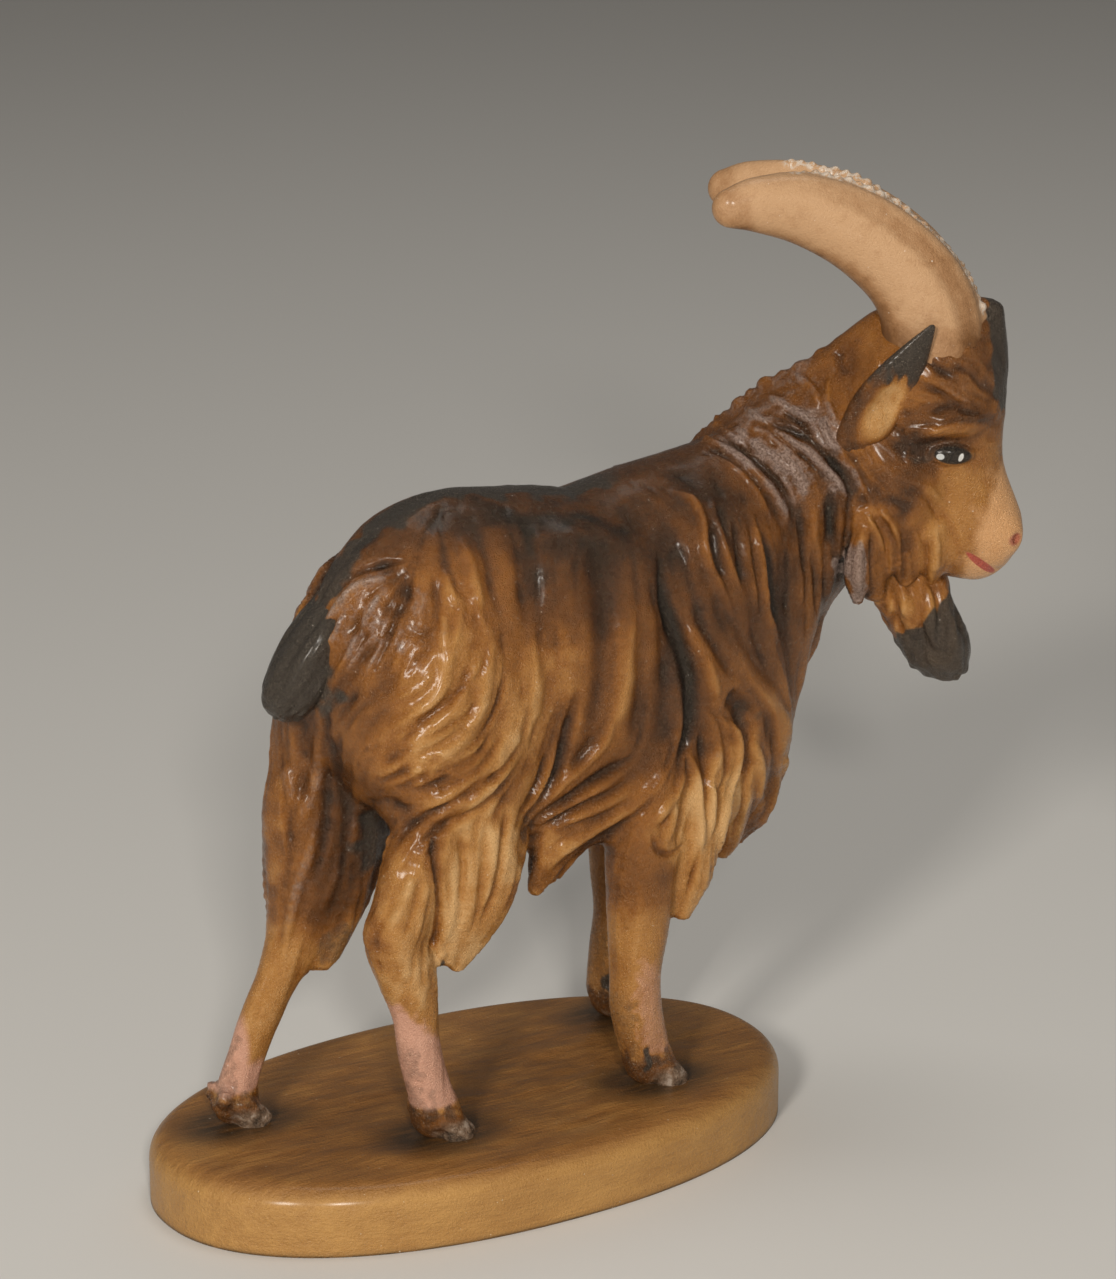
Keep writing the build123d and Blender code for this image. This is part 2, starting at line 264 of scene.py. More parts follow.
LEGS = [(LEG_RIGHT_HIND, 0.88), (LEG_LEFT_HIND, 0.72), (LEG_RIGHT_FRONT, 0.9), (LEG_LEFT_FRONT, 0.9)]
HOOVES = [(-9.6, -10.0), (-27.5, 5.0), (19.6, -10.0), (26.8, 9.2)]


def legs():
    """Four legs ending in cloven hooves with dew claws."""
    for path, thick in LEGS:
        goat.add(limb(path, ACROSS, thick), 1.5)
    for x, y in HOOVES:
        for side in BOTH:
            goat.add(limb([(x - 0.8, y + side * 1.25, 10.6, 1.7), (x + 0.9, y + side * 1.35, 8.2, 1.9)]), 0.5)
            goat.add(ball((x - 2.9, y + side * 1.5, 11.6), (1.0, 0.9, 1.2)), 0.5)
        goat.cut(limb([(x + 1.2, y, 10.6, 0.25), (x + 3.2, y, 7.6, 0.45)]), 0.3)


legs()

# loose locks: on the thighs, at the elbows, under the chest and along the belly
LOCKS = [
    [(-4.6, -9.6, 47, 5.4), (-4.8, -10.6, 40, 5.0), (-5.8, -10.8, 35.0, 3.9), (-7.4, -10.6, 30.8, 2.3),
     (-8.0, -10.6, 28.6, 1.2)],
    [(-1.2, -8.6, 45, 4.2), (-2.4, -9.4, 39, 3.4), (-4.8, -9.8, 34.2, 2.0)],
    [(-9.4, -10.0, 44, 3.0), (-9.6, -10.4, 38, 3.0), (-9.8, -10.5, 33, 2.5), (-9.8, -10.5, 30.2, 1.5)],
    [(-11, 5.4, 44, 4.5), (-12.6, 5.2, 36, 4.0), (-14.8, 5.0, 29.6, 2.0)],
    [(-15.2, 4.0, 31.6, 2.6), (-16.4, 3.8, 27.8, 2.1), (-17.3, 3.6, 25.8, 1.1)],
    [(21.6, -9.6, 47, 3.6), (20.6, -10.6, 42.6, 3.0), (19.4, -10.9, 39.2, 2.2)],
    [(24.6, -9.6, 48, 4.2), (24.2, -10.8, 40, 3.4), (23.2, -11.2, 33.5, 2.6), (22.0, -11.2, 28.9, 1.2)],
    [(26.8, -8.6, 44, 3.6), (26.6, -9.2, 37, 2.6), (25.8, -9.2, 31.8, 1.2)],
    [(31.0, 9.0, 48, 4.6), (31.0, 10.6, 39, 3.5), (30.4, 11.0, 33, 2.6), (29.6, 11.0, 29.0, 1.1)],
    [(30.6, -6.5, 48, 5.0), (31.4, -7.0, 42, 4.0), (31.6, -6.4, 37, 2.8), (31.0, -5.6, 33.0, 1.0)],
    [(36.0, -3.4, 48, 5.0), (36.6, -3.6, 41, 4.0), (35.6, -3.2, 36, 3.0), (33.0, -3.0, 32.4, 1.2)],
    [(37.0, 2.6, 48, 5.0), (37.2, 2.8, 40, 4.0), (36.2, 2.8, 34, 2.6), (35.0, 2.6, 30.8, 1.0)],
    [(31.5, 4.0, 44, 4.6), (31.6, 3.6, 37, 3.6), (30.6, 3.0, 31, 2.4), (29.4, 2.6, 26.4, 1.0)],
    [(15, -8.4, 48, 5.0), (9.6, -8.8, 43, 4.2), (5.6, -8.8, 38.4, 2.9), (3.8, -8.6, 35.0, 1.5)],
    [(8.4, -8.4, 42, 2.4), (7.4, -8.6, 38.6, 1.9), (6.6, -8.4, 36.0, 1.0)],
    [(21, -8.0, 51, 4.6), (16.6, -9.2, 45.4, 3.6), (11.6, -9.2, 41.4, 2.6), (7.6, -8.8, 38.6, 1.0)],
    [(11, 7.4, 47, 5.4), (5.0, 7.6, 41, 4.2), (1.2, 7.0, 36, 1.3)],
    [(6, 0, 46, 6.0), (3.4, 0, 40, 4.4), (1.0, 0, 36, 1.6)],
]


def loose_locks():
    """The hanging locks, and a cut behind each thigh and each elbow."""
    for path in LOCKS:
        goat.add(limb(path, ACROSS, 0.66), 1.3)
    for side in BOTH:
        thigh = [(0.2, side * 13.0, 41.2, 1.4), (1.0, side * 13.2, 44, 1.2), (2.4, side * 13.6, 47, 0.8)]
        goat.cut(limb(thigh), 1.2)
        elbow = [(28.2, side * 13.2, 53.2, 1.2), (29.6, side * 13.0, 51.4, 1.5), (30.2, side * 13.2, 49, 0.9)]
        goat.cut(limb(elbow), 1.4)


def skull():
    """Skull, bridge of the nose, jaw and forehead."""
    goat.add(head_ball(2.6, 0, 85.5, (9.6, 6.9, 11.2)), 3)
    nose = head_rod((6.0, 0, 92, 6.0), (6.3, 0, 83, 6.0), (7.8, 0, 76, 5.5), (9.9, 0, 70, 5.6))
    goat.add(limb(nose, LEFT, 0.86), 3)
    goat.add(limb(head_rod((-2.0, 0, 74.5, 7.0), (4.0, 0, 69.8, 5.0), (9.8, 0, 67.0, 3.0)), LEFT, 0.86), 3)
    for side in BOTH:
        face_half(side)
    goat.add(limb(head_rod((11.4, 0, 84, 1.2), (11.2, 0, 90, 1.9), (10.4, 0, 95, 2.2))), 1.2)


def face_half(side):
    """One cheek, brow, eye and nostril, half the mouth, and the locks below and behind them."""
    goat.add(head_ball(-0.6, side * 4.6, 76, (5.2, 2.8, 6.5)), 2)
    goat.add(limb(head_rod((1.2, side * 5.9, 83.4, 1.2), (4.4, side * 6.3, 83.4, 1.5),
                           (7.8, side * 5.6, 84.2, 1.6), (10.4, side * 3.4, 84.6, 1.2))), 1.2)
    goat.cut(head_ball(6.0, side * 7.6, 80.2, (4.4, 2.2, 2.2)), 1.0)
    goat.add(head_ball(6.2, side * 5.3, 80.0, (2.9, 1.25, 1.45)), 0.3)
    goat.add(head_ball(13.0, side * 2.2, 69.4, (2.2, 1.8, 2.4)), 1.2)
    goat.cut(head_ball(14.6, side * 3.3, 69.2, (0.6, 0.6, 0.6)), 0.5)
    mouth = head_rod((13.2, side * 1.4, 64.9, 0.3), (11.4, side * 3.7, 65.6, 0.45),
                     (8.8, side * 4.6, 67.8, 0.3))
    goat.cut(limb(mouth), 0.5)
    jaw = head_rod((-0.4, side * 4.6, 73, 2.4), (0.6, side * 4.4, 68.6, 2.2), (1.6, side * 3.6, 64.6, 1.2))
    goat.add(limb(jaw), 1.0)
    chin = head_rod((4.2, side * 3.4, 70, 2.2), (4.6, side * 3.0, 66.6, 1.9), (4.6, side * 2.4, 64.2, 1.0))
    goat.add(limb(chin), 1.0)
    wattle = head_rod((-3.4, side * 6.2, 72.6, 1.6), (-3.9, side * 6.7, 68.4, 1.9),
                      (-4.2, side * 6.5, 65.4, 1.7), (-4.2, side * 6.0, 63.0, 1.0))
    goat.add(limb(wattle, LEFT, 0.8), 0.7)
    goat.add(head_ball(3.4, side * 3.4, 89.0, (7.0, 4.0, 5.6)), 1.5)
    throat = head_rod((-2.8, side * 4.6, 71, 2.4), (-2.6, side * 4.4, 67, 2.3), (-2.2, side * 3.8, 63.4, 1.6))
    goat.add(limb(throat), 0.8)


def crest():
    """The mane along the top of the neck, with tufts of uneven size."""
    mane = head_rod((-1.6, 0, 93.0, 2.6), (-3.6, 0, 91.6, 2.6), (-8.2, 0, 88.4, 2.3), (-13.0, 0.4, 85.6, 2.1),
                    (-18.5, 1.4, 81.6, 1.9), (-23.5, 3.4, 77.2, 1.5))
    goat.add(limb(mane), 1.2)
    tufts = [(-6.0, 0, 91.6, 1.1), (-8.4, 0.3, 90.4, 0.9), (-10.8, 0, 88.7, 1.2), (-12.8, 0.6, 87.8, 0.9),
             (-14.7, 0.5, 86.7, 1.3), (-16.4, 1.2, 85.5, 0.9), (-17.8, 1.2, 84.2, 1.1),
             (-19.2, 1.9, 82.6, 0.9), (-20.5, 2.1, 81.2, 1.0), (-22.2, 3.0, 79.8, 0.8)]
    for u, v, z, r in tufts:
        goat.add(head_ball(u, v, z, (r, r * 0.8, r * 0.9)), 0.5)


loose_locks()
skull()
crest()

# ---------------------------------------------------------------- gouge strokes
# Each stroke: half width, height (negative for a groove), then its run. The runs are drawn on an upright
# sheet beside the flank (x, z) or beside the head (forward, up), and pressed on to the wood along one
# slanting direction.
PRESS = unit((0.507, 0.811, -0.293))
FLANK_SHEET, HEAD_SHEET = -11.0, -6.0  # how far each sheet stands to the goat's right
FLANK = [
    # haunch: crescents sweeping back and down, over the rounded ledge above the shank
    (1.1, 0.58, (-7.6, 78), (-6.4, 75), (-5.6, 72), (-5, 69)),
    (0.8, 0.43, (-9.6, 75), (-8.8, 72.4), (-7.6, 70)),
    (1.5, 0.39, (-13.2, 76), (-12.4, 73), (-12.4, 70), (-12.2, 67.5)),
    (1.2, 0.43, (-4.8, 69), (-3.7, 65.5), (-4.2, 61.5), (-5.3, 57.8), (-7.8, 54.8), (-11, 52.8),
     (-15, 51.2)),
    (1.1, 0.51, (-9.8, 69.2), (-9.3, 66), (-9.5, 63.2), (-10.4, 61), (-12.2, 59.4), (-16.5, 57.6)),
    (0.9, 0.47, (-6.8, 61.5), (-7.4, 59.5), (-9.2, 58), (-12.2, 56.4), (-17, 54.4)),
    (0.8, 0.39, (-13, 68), (-15, 66), (-16.4, 64)), (1.0, 0.47, (-11.8, 68), (-13.4, 65.4), (-15.4, 62)),
    (1.1, 0.43, (-2.4, 54), (-3.4, 51.4), (-7, 49.6), (-10.4, 48.4), (-14, 47.8)),
    (1.0, 0.47, (-0.8, 51.6), (-3.2, 49.2), (-6, 47.6), (-9.4, 46.8), (-13.4, 45.4)),
    (0.8, -0.62, (-3.2, 47.6), (-6.4, 46.0), (-9.6, 45.3), (-12.4, 44.2)),
    (0.7, -0.35, (-6.6, 63.5), (-7.2, 61.6), (-9.6, 59.8), (-13, 58)),
    (0.7, -0.35, (-5.4, 60.2), (-6.6, 57.4), (-10, 55.2), (-15, 53.4)),
    (0.7, -0.31, (-3.6, 56), (-5, 53.2), (-9, 51), (-13.6, 49.8)),
    (0.6, -0.31, (-2.2, 52.6), (-4.6, 50.4), (-8, 48.6), (-12.6, 47)),
    (0.8, -0.39, (-11, 74), (-10.6, 71), (-11.2, 67.6), (-12.6, 64.4)),
    (0.7, -0.27, (-8.4, 73.6), (-7, 70.6), (-6.2, 67)),
    (0.5, 0.38, (-3.8, 61), (-7.6, 58.2), (-13.7, 57.2), (-16.8, 55.7)),
    (0.5, 0.36, (-5.3, 57.9), (-9.9, 55.9), (-14.5, 54.9)),
    (0.5, 0.38, (-3, 56.1), (-6.1, 53.6), (-11.4, 52.7), (-15.3, 52.7)),
    (0.5, 0.36, (-4.5, 52.3), (-9.1, 51), (-14.5, 50.9)),
    (0.5, 0.34, (-6.1, 49.2), (-10.7, 47.9), (-13.7, 47.7)),
    (0.45, 0.4, (-14.5, 68.2), (-15.2, 67), (-16, 65.4)),
    (0.45, 0.34, (-4.6, 64.6), (-6.6, 61.8), (-10.6, 60.2), (-15, 59.6)),
    (0.45, 0.32, (-7.2, 72), (-7.6, 68.6), (-8.8, 65)), (0.35, -0.3, (-4, 59.6), (-8, 57.1), (-14, 56)),
    (0.35, -0.3, (-5.4, 56.6), (-10, 54.6), (-14.6, 53.8)),
    (0.35, -0.3, (-3.4, 54.8), (-6.6, 52.4), (-12, 51.7)),
    (0.35, -0.3, (-4.8, 51), (-9.4, 49.8), (-14, 49.6)), (0.4, 0.3, (-2.8, 67), (-2.4, 63), (-3, 59.6)),
    (0.4, 0.3, (-11, 63.6), (-12.6, 61.8), (-16, 61)),
    # rump: combed towards the tail
    (0.5, 0.5, (-20.4, 69.8), (-22, 67.2), (-24, 64.8)),
    (0.5, 0.5, (-18.6, 69.2), (-20.6, 67), (-22.6, 65)),
    (0.5, 0.45, (-24.8, 67.8), (-26.4, 66.6), (-28.4, 65.4)),
    (0.5, 0.4, (-17.4, 73.6), (-19, 72), (-20.2, 70)),
    (0.6, 0.5, (-16, 75), (-18.4, 75), (-20.8, 74.8), (-22.8, 73.4), (-24.6, 71.4), (-26, 69.4)),
    (0.6, -0.5, (-14.8, 76.6), (-18, 76.6), (-21.6, 76), (-24, 74)),
    (0.7, -0.6, (-14.4, 74.6), (-15, 72), (-16.2, 69.6), (-18.6, 65)),
    (0.5, 0.4, (-22.6, 71.8), (-24, 69.6), (-25.6, 67.6)),
    (0.5, 0.4, (-16.8, 68.6), (-18.4, 66.6), (-19.8, 64.4)),
    # folds under the belly, gathered towards the groin
    (1.0, -0.85, (7.6, 58), (6.2, 53), (5.2, 49.6), (3.8, 46.8), (0.8, 43.8)),
    (0.8, -0.7, (3.6, 51), (2.4, 48), (0.6, 45.6), (-0.4, 43.6)),
    (0.8, -0.7, (15.4, 48.8), (12.6, 48), (9.6, 46.9), (6.8, 45.5), (3.6, 44), (0.6, 42.4)),
    (0.6, -0.55, (15.4, 46.2), (12, 45), (9, 44.5), (5.6, 43.4), (1.6, 41.8)),
    (0.6, -0.4, (14, 43.4), (10, 42.4), (6, 42), (3.6, 41.4)),
    (0.9, 0.45, (12, 54), (11.2, 51.4), (8.4, 49), (5.6, 47.4), (3.2, 45.4)),
    (0.8, 0.5, (15, 47.6), (11.4, 46.2), (8, 45), (4.6, 43.8), (1.6, 42.8)),
    (0.8, 0.4, (14.6, 44.8), (10.6, 43.6), (6.6, 42.7), (2.6, 41)),
    (1.3, 0.5, (19.4, 46), (16, 43.3), (12.4, 41.7), (8.6, 40.2), (4.6, 38.6), (2.6, 36)),
    (0.9, 0.4, (4.8, 52), (3.8, 49.2), (2, 46.4), (0.4, 44.6)),
    (0.8, -0.4, (10, 52.4), (8.6, 50.6), (6.4, 48.8)),
    # flank: broad waves
    (2.4, 0.3, (13.4, 68), (13.6, 62), (12.6, 56), (11.4, 53)),
    (1.0, 0.21, (6.4, 64), (6.8, 60), (6.2, 56.6)), (0.9, 0.21, (2, 63), (2.6, 59), (2, 55)),
    (1.8, -0.27, (9.8, 66), (9.8, 60), (8.8, 54)),
    (1.6, 0.21, (17.6, 66), (18.2, 60), (18, 54), (17.2, 50)),
    (1.4, -0.24, (15.8, 62), (15.8, 56), (15, 51)), (1.6, -0.18, (0, 76), (1, 70), (0.6, 62), (-0.6, 56)),
    (1.4, 0.18, (-1.6, 72), (-0.6, 66), (-1.2, 60), (-1.8, 55)),
    (1.3, -0.9, (18.6, 72), (19.2, 67), (20.6, 63), (21.9, 59.6), (22.8, 56), (23.2, 52.6), (22.4, 49.4),
     (20, 45.8)),
    # shoulder
    (0.9, 0.95, (20.6, 79.6), (23, 78), (24.2, 75.4), (24.5, 72.6), (25.4, 69.6), (27, 66.4), (28.4, 63.6)),
    (1.7, 0.6, (27, 63.4), (28.8, 59.4), (31, 55.8), (34, 52.8), (36.4, 49), (37.2, 45)),
    (0.7, 0.55, (25.6, 78), (26.8, 73.4), (28, 69.6), (29.4, 66.4)),
    (0.6, 0.45, (30.2, 74), (30.6, 70.4), (31.2, 67), (32, 63)),
    (0.8, 0.75, (31, 75.4), (32.2, 70), (33, 65.6), (33.8, 62.4), (34.8, 59.8)),
    (1.2, -1.0, (32.8, 72.4), (33.8, 68), (34.2, 64.2), (35.2, 61)),
    (1.0, 0.5, (24, 59.6), (25.4, 56.6), (26.2, 54)), (0.9, -0.6, (25.8, 75), (26.2, 71.4), (27.2, 68.2)),
    (0.8, -0.5, (28.8, 74.6), (29.4, 70.6), (30, 66.6)),
    (0.9, -0.5, (23, 66), (24.6, 62.4), (26.6, 59), (28.6, 56)),
    (1.3, 0.4, (22.4, 63.6), (23.4, 60), (24, 57)), (0.8, 0.5, (37.6, 72.6), (38.4, 67.6), (38.4, 63)),
    (0.8, -0.5, (36.2, 70.6), (36.4, 66), (36.8, 62)), (0.8, -0.5, (39.8, 70.6), (40.4, 66), (40.4, 62)),
    (0.9, 0.5, (42.4, 71), (42.6, 66.6), (42.2, 62.6)),
    # elbow fan and chest locks
    (0.9, 0.7, (24.8, 53), (26.2, 50), (26.6, 47.4), (26.3, 44.6)),
    (0.8, 0.9, (26.8, 51.6), (28.8, 49.4), (29.5, 47.4), (29.2, 44.4), (28, 41.8), (27.2, 38.4),
     (26.8, 34)),
    (1.0, 0.6, (31.2, 48), (32.4, 45.4), (33, 42), (33.2, 39.6), (32, 36.4)),
    (0.7, 0.75, (22.9, 48), (23.9, 44.8), (24.2, 41.4), (24.4, 37.6), (23.2, 33)),
    (0.9, 0.75, (22.2, 46.6), (21.4, 44.2), (19.8, 42), (18, 40.2)),
    (0.7, 0.6, (25.4, 44.2), (26, 41.6), (25.6, 37)), (0.7, 0.5, (20.8, 42.6), (20.6, 40), (19.8, 37.6)),
    (0.8, -0.7, (24.4, 50), (24.9, 47), (25.2, 44.2), (25.1, 40)),
    (0.7, -0.6, (27.8, 48), (27.8, 45), (27, 42), (26.4, 38)),
    (0.7, -0.6, (30.4, 50), (30.8, 46), (30.4, 42), (29.6, 38.4), (29, 36)),
    (0.6, -0.5, (23, 45.4), (22.4, 42.4), (21.6, 39), (21, 36.8)),
    (0.8, -0.5, (34.6, 48.6), (35, 45), (34.8, 41.4), (34, 38)),
    (0.9, 0.5, (36, 45), (36.2, 41.6), (35.4, 38)), (0.5, -0.5, (24.2, 37), (23.6, 33.6), (22.6, 30.6)),
    (0.6, -0.5, (17.8, 39.2), (18.6, 37), (20.6, 36.2), (22, 37)),
]
SHANK = [
    # thigh flap and right shank, on the right only
    (1.3, 0.4, (-9.4, 44), (-8.8, 40), (-9, 36), (-9.8, 31.6)),
    (1.0, 0.35, (-6.4, 44.6), (-6, 40), (-6.4, 35), (-7.6, 31)),
    (0.7, -0.9, (-11.4, 44.6), (-10.8, 41), (-10.5, 37), (-10.8, 33.4), (-11.8, 30.6)),
    (0.6, -0.35, (-7.8, 44.4), (-7.4, 40), (-8, 35.4)),
    (0.8, -0.45, (-4.4, 45), (-4.6, 40), (-5.2, 35.4), (-6.6, 31.6)),
    (0.8, -0.45, (-1.6, 45.6), (-2, 41), (-3.2, 36), (-5.2, 32.4)),
    (0.9, 0.35, (-2.8, 45), (-3.4, 40), (-4.4, 35)), (0.7, 0.35, (-13.8, 40.6), (-15, 37.4), (-16.8, 34.4)),
    (0.6, 0.3, (-11.9, 39.4), (-12.8, 35.6), (-13.6, 32)),
    (0.5, -0.3, (-12.8, 40), (-13.8, 36.6), (-15, 33.6)),
    (0.8, 0.5, (-9.8, 30.4), (-10.5, 29.4), (-10.8, 28.6)),
    # inside of the left hind leg
    (1.3, 0.6, (-26.3, 58.4), (-26.6, 54.6), (-28.2, 51), (-28.8, 48.6)),
    (0.9, 0.6, (-27.2, 47.6), (-28.2, 44), (-29.6, 41), (-30.6, 37.4), (-31.8, 32.6)),
    (1.0, 0.5, (-31, 56), (-30.4, 53), (-29.5, 50)), (0.8, 0.3, (-23.2, 45), (-24.6, 41), (-26.2, 37.6)),
    (0.9, -0.4, (-27.8, 55), (-29, 52.6), (-30, 49), (-29.6, 45)),
    (0.9, -0.4, (-25.4, 55), (-25.6, 50), (-26.2, 45), (-27.6, 41)),
    (0.9, 0.25, (-21.4, 54), (-21.6, 48), (-22, 42.6)), (0.9, -0.3, (-22.8, 52), (-23, 46), (-24, 41)),
    (0.8, -0.3, (-20, 50), (-20, 45), (-20.6, 40)),
]
FACE = [
    # neck: wavy locks running down and forward from the crest
    (0.75, 0.65, (-24, 83), (-21.4, 81.6), (-18, 79.6), (-15, 76.6), (-13, 73.6), (-12, 71.2)),
    (0.6, 0.5, (-18.6, 83.4), (-16.6, 81.4), (-14.8, 80)),
    (1.0, 0.55, (-14.6, 80), (-12.4, 78.4), (-10.8, 76.2), (-11.4, 74.4)),
    (0.7, 0.5, (-14, 82.8), (-11, 80.8), (-8.8, 78.8), (-7, 77), (-5.6, 74.6)),
    (0.5, 0.4, (-22, 80.4), (-19, 78.4), (-16.4, 75.6), (-14.8, 72.4)),
    (0.5, 0.4, (-13.4, 77.2), (-12.2, 75.6), (-11.6, 73.4)),
    (0.7, 0.6, (-14.8, 87.4), (-12.6, 85.8), (-10.4, 84.4)),
    (0.7, 0.55, (-17.4, 86), (-15.2, 84.4), (-12.6, 83.4)), (0.7, 0.5, (-11.6, 90), (-9.8, 88.2), (-9, 86)),
    (0.6, 0.5, (-21.6, 84.4), (-19.8, 83), (-17.8, 81)),
    (0.6, -0.5, (-20, 82.6), (-17.4, 80.2), (-14.4, 77.4), (-12.2, 74.4)),
    (0.5, -0.45, (-15.6, 83.6), (-12.8, 81.4), (-10.2, 79.4), (-8, 76.4)),
    (0.7, -0.5, (-13.4, 86.6), (-11.2, 84.2), (-9.6, 82.2)),
    (0.6, -0.5, (-16.4, 85.6), (-14, 83.6), (-11.4, 82.4)), (0.8, 0.5, (-9.6, 74), (-9.4, 70), (-8.8, 66)),
    (0.8, -0.5, (-11, 73), (-10.8, 69), (-10.4, 65)), (0.8, 0.5, (-12.8, 70), (-12.6, 66), (-12.4, 61.4)),
    (0.7, -0.5, (-8, 75), (-7.6, 71), (-7, 67)), (0.7, 0.45, (-6.6, 74), (-6.4, 70), (-6.2, 66)),
    # behind the ear, brow, cheek locks and the hair under the jaw
    (0.6, 0.5, (-8.6, 84.4), (-8.1, 82), (-6.2, 80)), (0.6, 0.5, (-7.6, 89.6), (-8, 86.6), (-7, 83.6)),
    (0.5, 0.3, (5.4, 87.8), (7, 86.8), (8.6, 86)),
    (0.6, -0.3, (2.4, 88.6), (4.8, 87.2), (7.6, 85.2), (9.8, 85)),
    (0.4, 0.25, (3.4, 82.4), (5.6, 83.2), (8.6, 85)), (0.5, -0.35, (3.6, 84.8), (5.8, 85.6), (8, 86)),
    (0.6, 0.6, (-3.4, 72.8), (-2.2, 70.6), (-1.2, 68)), (0.6, 0.55, (-2, 73.4), (-0.4, 71.6), (0.6, 69)),
    (1.0, 0.6, (-3.6, 71), (-4.3, 67.4), (-4.2, 63.2)), (0.6, 0.5, (-0.4, 70.4), (-0.3, 66), (0, 62.6)),
    (0.8, 0.45, (2.6, 70.8), (3, 66.6), (2.4, 63)), (0.7, 0.4, (4.9, 70.6), (5, 67.6), (4.6, 64.6)),
    (0.5, -0.5, (-2.8, 70.4), (-2.6, 67), (-2.4, 63.6)), (0.5, -0.45, (1, 70), (1.2, 66.4), (1, 62.8)),
    (0.4, -0.35, (3.8, 70), (4, 66.6), (3.6, 63.4)),
    (0.6, -0.5, (-5.6, 76), (-5.4, 72), (-6, 68.4), (-6.2, 65)),
    (0.5, -0.25, (0.6, 76), (3.4, 75), (5.4, 72)), (0.5, 0.2, (1, 77), (4, 76), (6.6, 73)),
]
# Locks that the sheets can't reach, on the chest front (at y) and on the left thigh (at x), each with its
# sway; then, as for the other strokes, half width, height and places near the wood.
HIDDEN = []
for y, d in ((-5, 1), (-2, 0.6), (1, -0.6), (4, 0.8), (7, -1)):
    HIDDEN.append((1.2, 0.7, (44, y, 60), (43, y + d, 54), (42, y + d, 47), (40, y - d, 40)))
for y, d in ((-3.5, 0.7), (-0.5, 0.6), (2.5, -0.7), (5.5, 0.6)):
    HIDDEN.append((0.9, -0.6, (44, y, 61), (43, y + d, 54), (42, y - d, 48), (41, y + d, 42)))
for x, d in ((-8, 2), (-11.5, 2.6), (-15, 3), (-18.5, 3)):
    HIDDEN.append((1.2, 0.5, (x, 13, 48), (x - 1, 14, 42), (x - 2 - d, 14, 36)))
for x, d in ((-9.8, 2), (-13.2, 2.6), (-16.8, 3)):
    HIDDEN.append((0.8, -0.5, (x, 13, 47), (x - 1, 14, 41), (x - 2.4 - d, 14, 35)))


def rough_model():
    """The clay before carving, as a tree to press the strokes against."""
    low, cell = np.array([-36.0, -20.0, 6.0]), 0.8
    points, quads = surface(goat.field(low, (72, 20, 102), cell), low, cell)
    return BVHTree.FromPolygons([tuple(p) for p in points], [tuple(int(i) for i in q) for q in quads])


rough_tree = rough_model()


def nearest(point):
    """The place on the wood nearest a point, and its outward normal."""
    spot, normal, _, _ = rough_tree.find_nearest(Vector(point))
    return np.array(spot), np.array(normal)


def laid(width, height, path):
    """A stroke moved to the places on the wood nearest its path."""
    there = [nearest(p) for p in path]
    return width, height, np.array([p for p, _ in there]), np.array([n for _, n in there])


def press(runs, sheet):
    """Strokes drawn on a sheet, moved on to the wood; each is (half width, height, places, normals)."""
    out = []
    for width, height, *run in runs:
        path, facing = [], []
        for a, b in curve(run, 12):
            start = sheet(a, b) - PRESS * 40
            spot, normal, _, _ = rough_tree.ray_cast(Vector(start), Vector(PRESS))
            if spot is not None:
                path.append(np.array(spot))
                facing.append(np.array(normal))
        if len(path) > 4:
            out.append((width, height, np.array(path), np.array(facing)))
    return out


def flank_sheet(a, b):
    return np.array([a, FLANK_SHEET, b])


def head_sheet(a, b):
    return head(a, HEAD_SHEET, b)


def flip_body(p):
    return p * np.array([1, -1, 1])


def flip_head(p):
    return p - 2 * LEFT * np.dot(p - HEAD_CENTRE, LEFT)


def all_strokes():
    """The strokes of both sides, with those of the legs and of the chest."""
    flank, face = press(FLANK, flank_sheet), press(FACE, head_sheet)
    out = flank + [laid(width, height, map(flip_body, path)) for width, height, path, _ in flank]
    out += face + [laid(width, height, map(flip_head, path)) for width, height, path, _ in face]
    out += press(SHANK, flank_sheet)
    return out + [laid(width, height, curve(run, 20)) for width, height, *run in HIDDEN]


strokes = all_strokes()

